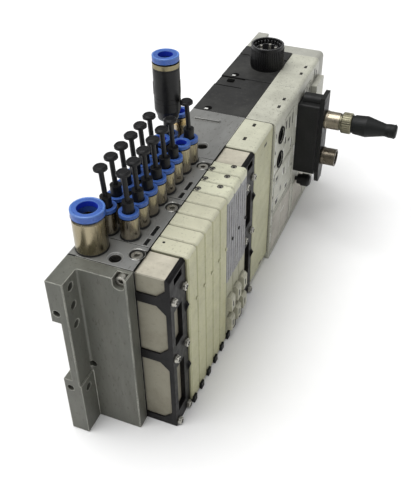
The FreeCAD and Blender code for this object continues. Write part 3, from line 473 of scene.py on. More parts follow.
class DressMetals(bpy.types.Operator):
    """Aluminium slices, end plates, nickel fittings, ports and screws."""

    bl_idname = "island.metals"
    bl_label = "Metal finishes"

    def execute(self, context):
        colours = context.scene.island_colours
        self.dress_plates(colours)
        self.dress_fittings(colours)
        self.dress_ports()
        steel = finish("zinc_steel", (0.47, 0.46, 0.41), rough=0.32, metal=0.85, mottle=0.18,
                       patch=3 * MM, speck=0.4, grime=0.3, grime_size=6 * MM, crevice_shade=0.8, wear_and_highlight=0.5,
                       bump=0.004, bare_and_highlight=(0.80, 0.78, 0.73))
        dress(steel, "screws")
        return {"FINISHED"}

    def dress_plates(self, colours):
        """Grey casting in front, extruded slices, pale casting at the rear."""
        cast = finish("cast_aluminium", colours.casting, rough=0.5, metal=0.15, mottle=0.2,
                      speck=0.6, grime=0.5, crevice_shade=0.5, wear_and_highlight=1.0, edge=0.8, bump=0.03,
                      grain=0.8 * MM, bare_and_highlight=(0.60, 0.60, 0.53), streak=(1, 1, 0.3))
        dress(cast, "front_end_plate")
        extruded = finish("extruded_aluminium", colours.aluminium, rough=0.40, metal=0.35,
                          mottle=0.13, patch=16 * MM, speck=0.45, grime=0.28, grime_size=30 * MM,
                          crevice_shade=0.6, wear_and_highlight=1.0, bump=0.015, grain=0.5 * MM,
                          bare_and_highlight=(0.78, 0.78, 0.74), streak=(1, 0.35, 1))
        dress(extruded, "supply_plate", "sub_base_1", "sub_base_2", "pneumatic_interface")
        pale = finish("pale_casting", (0.40, 0.40, 0.355), rough=0.5, metal=0.05, mottle=0.08,
                      speck=0.3, grime=0.25, crevice_shade=0.6, wear_and_highlight=0.3, bump=0.02)
        dress(pale, "rear_end_plate")

    def dress_fittings(self, colours):
        """Nickel with upright streaks, more tarnished on the supply fitting."""
        nickel = finish("nickel_plate", colours.nickel, rough=0.22, metal=1.0, mottle=0.16,
                        patch=4 * MM, speck=0.15, speck_size=1.5 * MM, grime=0.3,
                        grime_size=10 * MM, crevice_shade=0.7, bump=0.002, grain=0.4 * MM,
                        streak=(1, 1, 0.12))
        dress(nickel, "port_fittings", "open_fittings", "interface_fitting")
        tarnish = finish("tarnished_nickel", (0.31, 0.27, 0.18), rough=0.25, metal=1.0, mottle=0.14,
                         patch=6 * MM, speck=0.12, speck_size=1.5 * MM, grime=0.25,
                         grime_size=14 * MM, crevice_shade=0.6, bump=0.002, streak=(1, 1, 0.12))
        dress(tarnish, "supply_fitting")

    def dress_ports(self):
        """Round ports, the lower one darkened as painted shade, and the coupling nut."""
        low_port = centre("coupling_nut").z + PORT_DROP.z
        # Painted shade: the lower port is darker than the upper one
        low_port_shade = (low_port - 8 * MM, low_port + 8 * MM, (0.15, 0.13, 0.10))
        port = finish("port_plate", (0.34, 0.30, 0.23), rough=0.32, metal=0.95, mottle=0.07,
                      patch=8 * MM, speck=0.1, grime=0.12, grime_size=10 * MM, crevice_shade=0.4,
                      bump=0.002, zones=(low_port_shade,))
        dress(port, "bus_sockets")
        nut = finish("nut_plate", (0.19, 0.18, 0.125), rough=0.36, metal=0.95, patch=6 * MM,
                     speck=0.2, grime=0.2, crevice_shade=0.5, bump=0.002, grain=0.4 * MM)
        dress(nut, "coupling_nut")


class DressPlastics(bpy.types.Operator):
    """Covers, valves, modules, rings, plugs, silencers and the adapter."""

    bl_idname = "island.plastics"
    bl_label = "Plastic finishes"

    def execute(self, context):
        colours = context.scene.island_colours
        self.dress_covers(colours)
        self.dress_modules(colours)
        self.dress_silencers(colours)
        self.dress_black(colours)
        ring = finish("blue_ring", colours.ring, rough=0.32, mottle=0.15, patch=6 * MM, speck=0.25,
                      grime=0.25, grime_size=8 * MM, crevice_shade=0.7, wear_and_highlight=0.8, edge=0.6, shine=0.45,
                      dirt_and_shade=(0.015, 0.025, 0.10), bare_and_highlight=(0.17, 0.33, 0.72))
        dress(ring, *[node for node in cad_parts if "ring" in node])
        return {"FINISHED"}

    def dress_covers(self, colours):
        """Yellowed covers with paler tops as painted light, grey valves with pale tops and feet,
        pilot plugs.
        """
        # Painted light: the tops of the covers are paler than their sides, as if lit from above
        top = (TOP - 1.6 * MM, TOP + 1 * MM)
        cream = finish("cream_cover", colours.cream, rough=0.42, mottle=0.08, speck=0.35, grime=0.2,
                       crevice_shade=0.6, wear_and_highlight=0.6, edge=0.5, bump=0.006, shine=0.4,
                       bare_and_highlight=(0.74, 0.73, 0.58), zones=((*top, (0.56, 0.55, 0.415)),))
        dress(cream, *["blank_cover_%d" % k for k in range(1, 6)])
        aged = finish("aged_cover", (0.46, 0.455, 0.29), rough=0.42, mottle=0.08, patch=18 * MM,
                      speck=0.35, grime=0.2, crevice_shade=0.6, wear_and_highlight=0.6, edge=0.5, bump=0.006, shine=0.4,
                      bare_and_highlight=(0.74, 0.73, 0.56), zones=((*top, (0.56, 0.56, 0.44)),))
        dress(aged, "interface_cover")
        tops = (TOP - 5 * MM, TOP + 1 * MM, (0.62, 0.62, 0.47))
        feet = (-1 * MM, 46 * MM, (0.38, 0.375, 0.27))
        valve = finish("grey_valve", colours.valve, rough=0.45, mottle=0.12, patch=10 * MM,
                       speck=0.4, grime=0.3, crevice_shade=0.8, wear_and_highlight=0.5, edge=0.5, bump=0.006, shine=0.4,
                       bare_and_highlight=(0.68, 0.68, 0.58), zones=(tops, feet))
        dress(valve, "valve_1", "valve_2", "valve_3")
        pilot = finish("pilot_plug", (0.50, 0.49, 0.39), rough=0.5, patch=5 * MM, speck=0.5,
                       grime=0.3, grime_size=8 * MM, crevice_shade=0.7, wear_and_highlight=0.6, shine=0.3,
                       bare_and_highlight=(0.70, 0.69, 0.58))
        dress(pilot, "pilot_plugs")

    def dress_modules(self, colours):
        """Light shells with slightly brighter flanks, and the dark interlinking blocks."""
        flank = (-1 * MM, TOP - 2 * MM, (0.56, 0.56, 0.485))
        module = finish("module_shell", colours.module, rough=0.45, mottle=0.09, speck=0.6,
                        grime=0.3, crevice_shade=0.8, wear_and_highlight=0.8, edge=0.6, bump=0.008, shine=0.4,
                        bare_and_highlight=(0.80, 0.80, 0.72), zones=(flank,))
        dress(module, "electronics_module_1", "electronics_module_2")
        dark = finish("dark_block", (0.021, 0.021, 0.0205), rough=0.5, mottle=0.15, speck=0.3,
                      grime=0.3, crevice_shade=0.5, wear_and_highlight=0.2, bump=0.01, shine=0.35,
                      dirt_and_shade=(0.10, 0.10, 0.09), bare_and_highlight=(0.12, 0.12, 0.11))
        dress(dark, "interlinking_block_1", "interlinking_block_2")

    def dress_silencers(self, colours):
        """Porous blocks with darker sides, and their black frames with the override buttons."""
        sides = (-1 * MM, TOP - 2.2 * MM, (0.30, 0.285, 0.225))
        sinter = finish("porous_silencer", colours.sinter, rough=0.85, mottle=0.12, patch=9 * MM,
                        speck=0.2, speck_size=1.3 * MM, grime=0.45, crevice_shade=0.55, wear_and_highlight=0.4,
                        edge=0.6, bump=0.06, grain=0.5 * MM, shine=0.15, dirt_and_shade=(0.12, 0.10, 0.07),
                        bare_and_highlight=(0.62, 0.60, 0.52), zones=(sides,))
        dress(sinter, "silencer_block_1", "silencer_block_2")
        black = finish("black_frame", (0.005, 0.0048, 0.0055), rough=0.42, mottle=0.2, speck=0.3,
                       grime=0.25, wear_and_highlight=0.35, bump=0.008, shine=0.16, dirt_and_shade=(0.05, 0.045, 0.04),
                       bare_and_highlight=(0.06, 0.06, 0.06))
        dress(black, "silencer_frame_1", "silencer_frame_2")
        dress(black, "override_1", "override_2", "override_3")

    def dress_black(self, colours):
        """Plugs and reducer, seals and cable plug, adapter."""
        plug = finish("black_plug", colours.black, rough=0.36, mottle=0.2, speck=0.25, wear_and_highlight=0.3,
                      bump=0.004, shine=0.25, dirt_and_shade=(0.05, 0.05, 0.05), bare_and_highlight=(0.04, 0.04, 0.045))
        dress(plug, "blanking_plugs", "reducer_body", "power_connector")
        # Black rubber of the gaskets and cable plug; the same finish also serves as painted shade in
        # gaps and slots elsewhere
        rubber = finish("black_rubber_and_shade", (0.009, 0.010, 0.0098), rough=0.5, mottle=0.2, speck=0.2,
                        wear_and_highlight=0.3, bump=0.006, shine=0.22, dirt_and_shade=(0.04, 0.04, 0.04),
                        bare_and_highlight=(0.045, 0.045, 0.045))
        dress(rubber, "gaskets", "cable_plug")
        adapter = finish("adapter_shell", (0.0135, 0.0138, 0.0135), rough=0.45, mottle=0.2,
                         speck=0.2, wear_and_highlight=0.5, bump=0.01, shine=0.2, dirt_and_shade=(0.05, 0.05, 0.05),
                         bare_and_highlight=(0.045, 0.045, 0.045))
        dress(adapter, "bus_adapter", "adapter_screws")


class AddFittingDetails(bpy.types.Operator):
    """O-rings, plug rims, lips and bore walls of the rings, and the trim of the tall reducer."""

    bl_idname = "island.fitting_details"
    bl_label = "Fitting details"

    def execute(self, context):
        sizes = context.scene.island_sizes
        self.seal_fittings(sizes.seal_tube)
        self.rim_heads()
        self.round_rings()
        self.line_bores()
        self.trim_reducer(sizes.collar_skin)
        self.trim_interface(sizes.collar_skin)
        return {"FINISHED"}

    def seal_fittings(self, thick):
        """O-rings between the fittings and the slices."""
        dark = finish("oring_rubber", (0.012, 0.012, 0.012), rough=0.5, mottle=0.2, shine=0.3)
        spots = [over(node, TOP + thick) for node in (*RINGS, "interface_ring")]
        small = repeat(hoop(spots[0], 4.8 * MM, thick), [spot - spots[0] for spot in spots[1:]])
        large = hoop(over("supply_fitting", TOP + thick), 7.9 * MM, thick)
        settle(join([small, large]), "fitting_orings", dark)

    def rim_heads(self):
        """Raised rims on the leaning heads of the blanking plugs."""
        lean = (0.0198, -0.0485, 0)
        shift = mm(-0.81, -0.33, -0.2)  # where the lean carries a head, and how deep its rim sits
        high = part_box("blanking_plugs")[1].z
        spots = [over(ring, high) + shift for ring in PLUGGED_RINGS]
        first = hoop(spots[0], 2.55 * MM, 0.36 * MM, steps=28, sides=6)
        first.rotation_euler = lean
        rims = repeat(first, [spot - spots[0] for spot in spots[1:]])
        settle(rims, "plug_rims", made("black_plug"))

    def round_rings(self):
        """Rounded lips in a paler blue as painted highlight on the two large release rings, and a
        dark hoop as painted shade in the gap under the supply ring.
        """
        # Painted highlight: the lips are a paler blue than the rings
        pale = finish("ring_lip", (0.10, 0.22, 0.58), rough=0.3, mottle=0.12, patch=4 * MM,
                      speck=0.25, grime=0.2, shine=0.5)
        for node in ("supply_ring", "reducer_ring"):
            place = over(node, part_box(node)[1].z - 0.35 * MM)
            outer = hoop(place, round_of(node) - 0.55 * MM, 0.6 * MM, steps=64)
            settle(outer, node + "_lip", pale, body=node)
        # Painted shade: a thin dark hoop stands for the shadow in the gap under the supply ring
        place = over("supply_ring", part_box("supply_ring")[0].z + 2.75 * MM)
        gap = hoop(place, round_of("supply_ring") - 0.1 * MM, 0.22 * MM, steps=64)
        settle(gap, "supply_ring_gap_shade", made("black_rubber_and_shade"), body="supply_ring")

    def line_bores(self):
        """Deep blue walls in the bores of the open rings."""
        deep = finish("ring_bore", (0.02, 0.055, 0.62), rough=0.35, patch=4 * MM, grime=0.15,
                      shine=0.4)
        bores = {"supply_ring": 5.2, "reducer_ring": 4.1, "interface_ring": 3.2}
        bores.update(dict.fromkeys(OPEN_RINGS, 3.2))
        for node, bore in bores.items():
            place = over(node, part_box(node)[1].z - 2.9 * MM)
            wall = tube(place, (bore + 0.02) * MM, 0.15 * MM, 2.6 * MM)
            settle(wall, node + "_wall", deep, body=node)

    def trim_reducer(self, skin):
        """Metal collar, black grip pads as painted shade of the recessed side grips, thin dark bands
        and the rim at the neck of the reducer.
        """
        bronze = finish("dull_collar", (0.27, 0.235, 0.14), rough=0.34, metal=0.9, patch=5 * MM,
                        speck=0.2, grime=0.2)
        radius = round_of("reducer_body")
        collar = over("reducer_ring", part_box("reducer_body")[1].z - 2.6 * MM)
        settle(tube(collar, radius + skin, 0.1 * MM, 2.5 * MM), "reducer_collar", bronze)
        neck = over("reducer_ring", TOP + 25.2 * MM)
        side = neck + Vector((radius, 0, 0))
        pads = around(block(side + mm(-0.6, -1.6, 14.5), side + mm(0.08, 1.6, 22), 0.2 * MM),
                      neck, "Z", 2)
        pick(pads)
        bpy.ops.transform.rotate(value=math.radians(-22), orient_axis="Z", center_override=neck)
        band = hoop(neck + mm(0, 0, 13.4), radius - 0.05 * MM, 0.14 * MM, sides=6)
        bands = repeat(band, [mm(0, 0, -2.6), mm(0, 0, 16)])
        # Painted shade: black pads stand for the shadow in the recessed side grips
        pitch = finish("reducer_grip_shade", (0.004, 0.004, 0.004), rough=0.6, mottle=0.2, shine=0.2)
        settle(join([pads, bands]), "reducer_grip_shade", pitch)
        grey = finish("reducer_rim", (0.16, 0.17, 0.17), rough=0.4, shine=0.4)
        settle(hoop(neck + mm(0, 0, 0.6), 5.4 * MM, 0.45 * MM), "reducer_rim", grey)

    def trim_interface(self, skin):
        """Brighter metal collar on the interface fitting."""
        gold = finish("gilt_collar", (0.62, 0.47, 0.24), rough=0.28, metal=1.0, mottle=0.12,
                      patch=4 * MM, speck=0.3, grime=0.3, crevice_shade=0.6)
        place = over("interface_fitting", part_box("interface_fitting")[1].z - 4.2 * MM)
        settle(tube(place, 4.9 * MM + skin, 0.1 * MM, 4 * MM), "interface_collar", gold)


class AddSockets(bpy.types.Operator):
    """Threads, pins and liners of the round sockets, and the power connector's ribs and teeth."""

    bl_idname = "island.sockets"
    bl_label = "Round sockets"

    def execute(self, context):
        sizes = context.scene.island_sizes
        self.line_module_sockets()
        self.dress_ports(sizes.thread_pitch)
        self.dress_plug()
        self.dress_power(sizes.connector_ribs, sizes.connector_teeth)
        return {"FINISHED"}

    def line_module_sockets(self):
        """Black liners with pins and a sealing lip in the first module's sockets."""
        matte = finish("socket_black", (0.003, 0.003, 0.003), rough=0.6, mottle=0.2, shine=0.12)
        mouth = at(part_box("electronics_module_1")[1].x,
                   row_start("electronics_module_1") + 12.2 * MM, TOP - 14.4 * MM)
        floor = mouth - mm(8.35, 0, 0)
        pin = rod(floor + mm(0.3, 2.2, 0), 0.6 * MM, 0.6 * MM, out=True, sides=16, width=0.1 * MM)
        socket = join([tube(floor, 4.58 * MM, 0.25 * MM, 8 * MM, out=True),
                       rod(floor, 4.5 * MM, 0.5 * MM, out=True),
                       around(pin, floor, "X", 4),
                       tube(mouth - mm(0.3, 0, 0), 5.7 * MM, 1.1 * MM, 0.7 * MM, out=True)])
        settle(repeat(socket, [SOCKET_DROP]), "module_socket_liners", matte)

    def dress_ports(self, pitch):
        """Base collars on both ports, and ridges, floor and pins of the open one."""
        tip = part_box("bus_sockets")[1].x
        axis = centre("coupling_nut")
        upper = at(tip - 10.2 * MM, axis.y, axis.z)
        lower = upper + PORT_DROP
        ridge = hoop(lower + mm(5.2, 0, 0), 5.98 * MM, 0.16 * MM, out=True)
        ridges = repeat(ridge, [Vector((pitch * k, 0, 0)) for k in range(1, 5)])
        rim = hoop(lower + mm(9.7, 0, 0), 5.8 * MM, 0.35 * MM, out=True)
        collar = rod(upper + mm(0.01, 0, 0), 6.3 * MM, 2.2 * MM, out=True, width=0.35 * MM)
        settle(join([ridges, rim, repeat(collar, [PORT_DROP])]), "port_ridges", made("port_plate"))
        floor = lower + mm(3.25, 0, 0)
        settle(rod(floor, 4.7 * MM, 0.6 * MM, out=True), "port_floor", made("black_plug"))
        pin = rod(floor + mm(0.5, 1.9, 1.9), 0.5 * MM, 5 * MM, out=True, sides=16)
        settle(around(pin, floor, "X", 4), "port_pins", made("gilt_collar"))

    def dress_plug(self):
        """Lip and groove at the end of the cable plug, and the sleeve behind the thumb screw."""
        axis = centre("coupling_nut")
        end = at(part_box("cable_plug")[1].x, axis.y, axis.z)
        lip = hoop(end - mm(1.2, 0, 0), 4.35 * MM, 0.55 * MM, out=True)
        groove = hoop(end - mm(4.4, 0, 0), 4.45 * MM, 0.22 * MM, out=True)
        settle(join([lip, groove]), "cable_plug_lip", made("black_rubber_and_shade"))
        thumb = centre("adapter_screws")
        thumb.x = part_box("electronics_module_1")[1].x + 1.5 * MM
        sleeve = rod(thumb, 3.8 * MM, 4.4 * MM, out=True, width=0.3 * MM)
        settle(sleeve, "thumb_sleeve", made("black_plug"))

    def dress_power(self, rib_count, tooth_count):
        """Ribs outside, teeth inside, metal sleeves over the pins and the shroud round them."""
        black = made("black_plug")
        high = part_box("power_connector")[1].z
        middle = centre("power_connector")
        radius = round_of("power_connector")
        foot, head = (at(middle.x + radius, middle.y, z) for z in (TOP, high))
        rib = block(foot + mm(-0.2, -0.3, 1.2), head + mm(0.3, 0.3, -2.2), 0.12 * MM)
        settle(around(rib, middle, "Z", rib_count), "power_ribs", black)
        tooth = block(head + mm(-2.4, -0.45, -5.5), head + mm(-1.4, 0.45, -1.2), 0.15 * MM)
        teeth = around(tooth, middle, "Z", tooth_count)
        rim = hoop(over("power_connector", high - 0.1 * MM), radius - 0.75 * MM, 0.4 * MM)
        shiny = finish("connector_rim", (0.03, 0.03, 0.032), rough=0.2, mottle=0.2, shine=0.8,
                       wear_and_highlight=0.6, bare_and_highlight=(0.4, 0.4, 0.4))
        settle(join([teeth, rim]), "power_teeth", shiny)
        bright = finish("bright_pin", (0.85, 0.83, 0.76), rough=0.18, metal=0.9, mottle=0.08,
                        patch=3 * MM, speck=0.2, shine=0.6)
        pin = rod(over("power_connector", TOP) + mm(0, 5.5, 3), 1.05 * MM, high - TOP - 5.2 * MM,
                  sides=20, width=0.35 * MM)
        settle(around(pin, middle, "Z", 5), "power_pins", bright)
        shroud = tube(over("power_connector", TOP + 2.9 * MM), 7.9 * MM, 0.7 * MM,
                      high - TOP - 6 * MM)
        settle(shroud, "power_shroud", shiny)


class AddSeals(bpy.types.Operator):
    """Seals in the slots, washers and rims in the screw pockets, threads in the vent holes."""

    bl_idname = "island.seals"
    bl_label = "Seals and threads"

    def execute(self, context):
        # Dark oily steel, also used as painted shade round and in the valve screw heads
        finish("oily_steel_and_shade", (0.035, 0.032, 0.026), rough=0.35, metal=0.7, mottle=0.3,
               patch=3 * MM, speck=0.4, shine=0.4)
        self.fill_slots()
        self.dress_pockets()
        self.cut_threads(context.scene.island_sizes.thread_pitch)
        return {"FINISHED"}

    def fill_slots(self):
        """Seals in the slots of the sub-bases, and the one at the end plate."""
        pieces = []
        for base in ("sub_base_1", "sub_base_2"):
            slot = at(SEAM - 3.6 * MM, row_start(base))
            pieces += [block(slot + mm(-0.9, start, -2.5), slot + mm(0.9, end, -1), 0.3 * MM)
                       for start, end in ((1.1, 6.3), (9, 17))]
        wall = at(0, 0)
        pieces.append(block(wall + mm(0.3, -0.7, -0.6), wall + mm(4.4, 0.3, 0.06), 0.05 * MM))
        settle(join(pieces), "slot_seals", made("black_rubber_and_shade"))

    def dress_pockets(self):
        """Dark washers, and bare rims that are partly painted highlight, in the pockets of the
        manifold screws.
        """
        column = SEAM - 4 * MM
        place = at(column, row_start("supply_plate") + 11.6 * MM)
        steps = [at(column, row_start(base) + 34.4 * MM) - place
                 for base in ("sub_base_1", "sub_base_2")]
        washer = tube(place - mm(0, 0, 3.6), 3.7 * MM, 1.9 * MM, 0.5 * MM)
        settle(repeat(washer, steps), "pocket_washers", made("oily_steel_and_shade"))
        # Bright bare ring round the edge of each pocket: partly real bare edge, partly painted
        # highlight
        bare_and_highlight = finish("bare_rim", (0.45, 0.45, 0.43), rough=0.3, metal=0.8, mottle=0.25,
                      patch=2 * MM, speck=0.5, grime=0.6, grime_size=4 * MM)
        rim = hoop(place - mm(0, 0, 0.04), 4.15 * MM, 0.15 * MM, steps=40, sides=6)
        settle(repeat(rim, steps), "pocket_rim_highlights", bare_and_highlight)

    def cut_threads(self, pitch):
        """Ridges of a thread in the two vent holes."""
        column = SEAM - 12.6 * MM
        first = at(column, row_start("supply_plate") + 5.7 * MM)
        second = at(column, row_start("pneumatic_interface") + 12 * MM)
        ridge = hoop(first - mm(0, 0, 1.3), 2.95 * MM, 0.22 * MM)
        thread = repeat(ridge, [Vector((0, 0, -pitch * k)) for k in range(1, 8)])
        settle(repeat(thread, [second - first]), "vent_threads", made("oily_steel_and_shade"))


class AddCoverDetails(bpy.types.Operator):
    """Marks on the pilot plugs, white inserts, the dot on the first cover and the screw heads."""

    bl_idname = "island.cover_details"
    bl_label = "Cover details"

    def execute(self, context):
        finish("pit_shadow", (0.003, 0.003, 0.003), rough=0.8, mottle=0.2, shine=0.05)
        self.mark_pilots()
        self.add_inserts()
        self.rim_valve_screws()
        self.dome_screws()
        return {"FINISHED"}

    def mark_pilots(self):
        """Dark marks on the faces of the pilot plugs as painted shade of their slots, and the dot on
        the first cover.
        """
        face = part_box("pilot_plugs")[1].x
        # Painted shade: thin dark blocks stand for the shadow in the slots of the pilot plugs
        slots = []
        for k in range(1, 4):
            start = row_start("valve_%d" % k)
            for height in (10 * MM, 26 * MM):
                place = at(face, start, height)
                slots.append(block(place + mm(-0.2, 2.9, 0), place + mm(0.04, 4.4, 4.5), 0.05 * MM))
        settle(join(slots), "pilot_slots", made("black_rubber_and_shade"))
        place = at(SEAM, row_start("blank_cover_1")) + mm(4.2, 6.1, -0.3)
        dot = rod(place, 0.75 * MM, 0.33 * MM, sides=24, width=0.05 * MM)
        settle(dot, "cover_dot", made("black_rubber_and_shade"))

    def add_inserts(self):
        """White inserts of the interlinking blocks, each with a shade round its foot."""
        place, second = (at(INSERT_COLUMN, row_start("interlinking_block_%d" % k) + 3.4 * MM)
                         for k in (1, 2))
        white = finish("white_insert", (0.75, 0.75, 0.72), rough=0.4, mottle=0.05, speck=0.2,
                       shine=0.4)
        insert = block(place + mm(-1.9, -1.6, -3), place + mm(0.9, 0.4, 0.16), 0.4 * MM)
        settle(repeat(insert, [second - place]), "block_inserts", white)
        shade = rod(place + mm(0.3, 0.5, -0.5), 2.5 * MM, 0.6 * MM, width=0.02 * MM)
        settle(repeat(shade, [second - place]), "insert_shades", made("pit_shadow"))

    def rim_valve_screws(self):
        """Dark rims and recesses of the two screws on each valve, as painted shade round and in the
        screw heads.
        """
        place = at(SEAM, row_start("valve_1")) + mm(1.9, 2.2, 0)
        # Painted shade: a dark rim round each screw head and a dark disc in its recess
        rim = hoop(place - mm(0, 0, 0.2), 1.62 * MM, 0.26 * MM, steps=28, sides=6)
        recess = rod(place - mm(0, 0, 0.45), 0.8 * MM, 0.22 * MM, sides=6, width=0.03 * MM)
        pair = mm(10.6, 5.7, 0)
        steps = [pair * j + Vector((0, VALVE_PITCH * k, 0)) for k in range(3) for j in range(2)]
        settle(repeat(join([rim, recess]), steps[1:]), "valve_screw_rims", made("oily_steel_and_shade"))

    def dome_screws(self):
        """Domed heads with cross recesses on the screws of the silencer frames."""
        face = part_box("silencer_frame_1")[1].x - 0.6 * MM
        last = row_start("pneumatic_interface")
        rows = (2.85 * MM, PLATE_END - 2.85 * MM, last + 2.85 * MM, last + 14.5 * MM)
        heights = (TOP - 15.8 * MM, 52 * MM, 2.4 * MM)
        spot, *others = [at(face, row, high) for row in rows for high in heights]
        steps = [other - spot for other in others]
        dome = rod(spot, 2 * MM, 1.1 * MM, out=True, sides=32, width=0.5 * MM)
        settle(repeat(dome, steps), "frame_screw_domes", made("zinc_steel"))
        across = block(spot + mm(0.7, -0.35, -1.4), spot + mm(1.16, 0.35, 1.4), 0.03 * MM)
        upright = block(spot + mm(0.7, -1.4, -0.35), spot + mm(1.16, 1.4, 0.35), 0.03 * MM)
        settle(repeat(join([across, upright]), steps), "frame_screw_crosses", made("pit_shadow"))


class AddModuleMarks(bpy.types.Operator):
    """Slots with painted shade, windows, white ribs as painted glints, blank labels and seam lines of
    the modules and blocks.
    """

    bl_idname = "island.marks"
    bl_label = "Marks on modules"

    def execute(self, context):
        # Dark windows on the module face; the same finish is painted shade on the slot floors
        shade = finish("dark_window_and_shade", (0.022, 0.021, 0.018), rough=0.4, mottle=0.3, patch=3 * MM,
                       speck=0.3, shine=0.3)
        line = finish("seam_shadow", (0.004, 0.004, 0.004), rough=0.7, mottle=0.2, shine=0.1)
        paper = finish("blank_label", (0.50, 0.475, 0.42), rough=0.55, speck=0.5, grime=0.5,
                       shine=0.3)
        self.darken_slots(shade)
        windows = on_face(WINDOWS, 0.3, 0.05, 0.04 * MM)
        settle(join(windows + self.latches()), "module_windows", shade)
        settle(join(self.seams()), "seam_lines", line)
        settle(join(on_face(self.frame_bars(), 0.2, 0.4, 0.15 * MM)), "label_frames",
               made("module_shell"))
        # Painted glints: raised ribs in white insert plastic
        settle(join(on_face(GLINT_RIBS, 0.2, 0.35, 0.12 * MM)), "module_rib_glints", made("white_insert"))
        settle(join(on_face(LABELS, 0.2, 0.12, 0.05 * MM)), "blank_labels", paper)
        step = at(0, row_start("interlinking_block_2") + BLOCK_STEP)
        cap = block(step + mm(0.2, 0, -0.2), step + mm(34.8, 13.3, 0.7))
        settle(cap, "block_cap", made("dark_block"))
        return {"FINISHED"}

    def darken_slots(self, shade):
        """Dark floors as painted shade in the slots of the modules, the interface cover and the first
        block.
        """
        spots = [(node, 14, row) for node in ("electronics_module_1", "electronics_module_2")
                 for row in (21.6, 32.4)]
        spots += [("interface_cover", 7, row) for row in (11.1, 28.1)]
        floors = []
        for node, column, row in spots:
            place = at(SEAM, row_start(node)) + mm(column, row, 0)
            floors.append(block(place + mm(0.06, -1.84, -1.5), place + mm(1.84, 1.84, -0.3),
                                0.05 * MM))
        settle(join(floors), "slot_floor_shades", shade)
        place = at(INSERT_COLUMN, row_start("interlinking_block_1") + 45.2 * MM)
        pit = block(place + mm(-2.3, -1.8, -2), place + mm(2.3, 1.8, 0.1), 0.05 * MM)
        settle(pit, "block_slot", made("pit_shadow"))

    def latches(self):
        """Latch slots low and high on the interface cover."""
        corner = at(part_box("interface_cover")[1].x, row_start("interface_cover"), 0)
        return [block(corner + mm(-0.3, 17.4, high), corner + mm(0.05, 22, high + 1.8), 0.04 * MM)
                for high in (6.6, 99.6)]

    def frame_bars(self):
        """Lower, upper and side bars of each label frame, as marks."""
        bars = []
        for row, low, wide, tall in LABEL_FRAMES:
            bars += [(row, low, wide, FRAME_BAR), (row, low + tall - FRAME_BAR, wide, FRAME_BAR),
                     (row, low, FRAME_BAR, tall), (row + wide - FRAME_BAR, low, FRAME_BAR, tall)]
        return bars

    def seams(self):
        """Thin dark lines where slices, blocks, modules and covers meet."""
        step = row_start("interlinking_block_1") + BLOCK_STEP
        covers_end = row_start("interlinking_block_1") - 34 * MM
        joint = row_start("electronics_module_2")
        lines = (
            # on the first block, and between the blocks
            (at(0, step) + mm(0.2, -0.7, -0.5), at(0, step) + mm(19, 0.3, 0.06), 0.02),
            (at(0, joint) + mm(0.2, -0.7, -0.5), at(0, joint) + mm(20, 0.3, 0.06), 0.02),
            (at(0, joint) + mm(20, -0.4, -0.5), at(SEAM, joint) + mm(0, 0.2, 0.05), 0.02),
            # between slices and covers, on top and down the front edge of the supply plate
            (at(SEAM, 0) + mm(-0.35, 0.3, -0.8), at(SEAM, covers_end) + mm(0.1, 0, 0.04), 0.02),
            (at(SEAM, 0, 0) + mm(-0.2, -0.25, 0.5), at(SEAM, 0) + mm(0.2, 0.2, -1.4), 0.02),
            # between the modules, on top and down the face
            (at(SEAM, joint) + mm(0, -0.08, -0.5),
             at(MODULE_FACE, joint) + mm(-3, 0.04, 0.02), 0.01),
            (at(MODULE_FACE, joint, 0) + mm(-0.5, -0.1, 0.5),
             at(MODULE_FACE, joint) + mm(0.02, 0.05, -3), 0.01))
        return [block(low, high, width * MM) for low, high, width in lines]


# Stage

FLOOR_SIZE = 60
FLOOR_HEIGHT = -0.2 * MM
SUN_PLACE = Vector((-0.35, -0.15, 1.2))
SUN_POWER = 2.55
SUN_WIDTH = math.radians(50)

# Place and axes of the camera that was fitted to the photograph
CAMERA_PLACE = (0.16206, -0.2184, 0.32672)
CAMERA_RIGHT = Vector((0.9265, 0.3762, -0.0089))
CAMERA_DOWN = Vector((0.2294, -0.5832, -0.7793))
CAMERA_FORWARD = Vector((-0.2984, 0.7199, -0.6266))


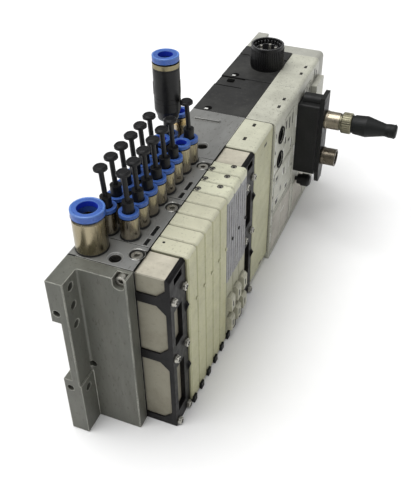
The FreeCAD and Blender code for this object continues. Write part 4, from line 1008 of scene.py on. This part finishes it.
class SetStage(bpy.types.Operator):
    """Pale floor, soft light and the view of the photograph."""

    bl_idname = "island.stage"
    bl_label = "Stage, light and camera"

    def execute(self, context):
        scene = context.scene
        release()
        bpy.ops.mesh.primitive_plane_add(size=FLOOR_SIZE, location=(0, 0, FLOOR_HEIGHT))
        floor = bpy.context.object
        floor.name = "floor"
        pale = finish("floor_white", (0.93, 0.93, 0.93), rough=0.9, mottle=0.005, shine=0.1)
        floor.data.materials.append(pale)
        self.set_sky(scene)
        self.set_sun()
        self.set_camera(scene)
        scene.view_settings.view_transform = "Standard"
        return {"FINISHED"}

    def set_sky(self, scene):
        """Studio dome: pale at the horizon, dim above it and bright overhead."""
        world = bpy.data.worlds.new("studio")
        world.use_nodes = True
        tree = world.node_tree
        background = tree.nodes["Background"]
        place = tree.nodes.new("ShaderNodeTexCoord")
        parts = tree.nodes.new("ShaderNodeSeparateXYZ")
        tree.links.new(place.outputs["Generated"], parts.inputs["Vector"])
        dome = span(tree, parts.outputs["Z"], (0.0, 0.8), (0.10, 0.55))
        horizon = span(tree, parts.outputs["Z"], (0.065, 0.11), (0.45, 0.0))
        tree.links.new(combine(tree, "ADD", dome, horizon), background.inputs["Strength"])
        background.inputs["Color"].default_value = (1, 1, 1, 1)
        scene.world = world

    def set_sun(self):
        """Wide soft key light from above the wall side."""
        bpy.ops.object.light_add(type="SUN", location=SUN_PLACE)
        sun = bpy.context.object
        sun.name = "key"
        sun.data.energy = SUN_POWER
        sun.data.angle = SUN_WIDTH
        sun.rotation_euler = (-SUN_PLACE).to_track_quat("-Z", "Y").to_euler()

    def set_camera(self, scene):
        """Camera fitted to the photograph."""
        bpy.ops.object.camera_add()
        camera = bpy.context.object
        camera.name = "view"
        turn = Matrix((CAMERA_RIGHT, -CAMERA_DOWN, -CAMERA_FORWARD)).transposed().to_4x4()
        camera.matrix_world = Matrix.Translation(CAMERA_PLACE) @ turn
        camera.data.sensor_fit = "VERTICAL"
        camera.data.sensor_height = 36
        camera.data.lens = scene.island_sizes.lens
        camera.data.clip_start = 0.01
        scene.camera = camera


# Add-on

STEPS = (DressMetals, DressPlastics, AddFittingDetails, AddSockets, AddSeals, AddCoverDetails,
         AddModuleMarks, SetStage)


class IslandPanel(bpy.types.Panel):
    """Steps and settings in the sidebar."""

    bl_label = "Valve island"
    bl_idname = "ISLAND_PT_looks"
    bl_space_type = "VIEW_3D"
    bl_region_type = "UI"
    bl_category = "Valve island"

    def draw(self, context):
        for step in STEPS:
            self.layout.operator(step.bl_idname)
        for group in (context.scene.island_sizes, context.scene.island_colours):
            for word in group.__annotations__:
                self.layout.prop(group, word)


CLASSES = (IslandSizes, IslandColours, *STEPS, IslandPanel)


def register():
    """Register the classes and hang the settings on the scene."""
    for item in CLASSES:
        bpy.utils.register_class(item)
    bpy.types.Scene.island_sizes = bpy.props.PointerProperty(type=IslandSizes)
    bpy.types.Scene.island_colours = bpy.props.PointerProperty(type=IslandColours)


def unregister():
    """Take the settings and the classes away again."""
    del bpy.types.Scene.island_colours
    del bpy.types.Scene.island_sizes
    for item in reversed(CLASSES):
        bpy.utils.unregister_class(item)


def main():
    """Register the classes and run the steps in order."""
    register()
    bpy.ops.island.metals()
    bpy.ops.island.plastics()
    bpy.ops.island.fitting_details()
    bpy.ops.island.sockets()
    bpy.ops.island.seals()
    bpy.ops.island.cover_details()
    bpy.ops.island.marks()
    bpy.ops.island.stage()


if __name__ == "__main__":
    main()
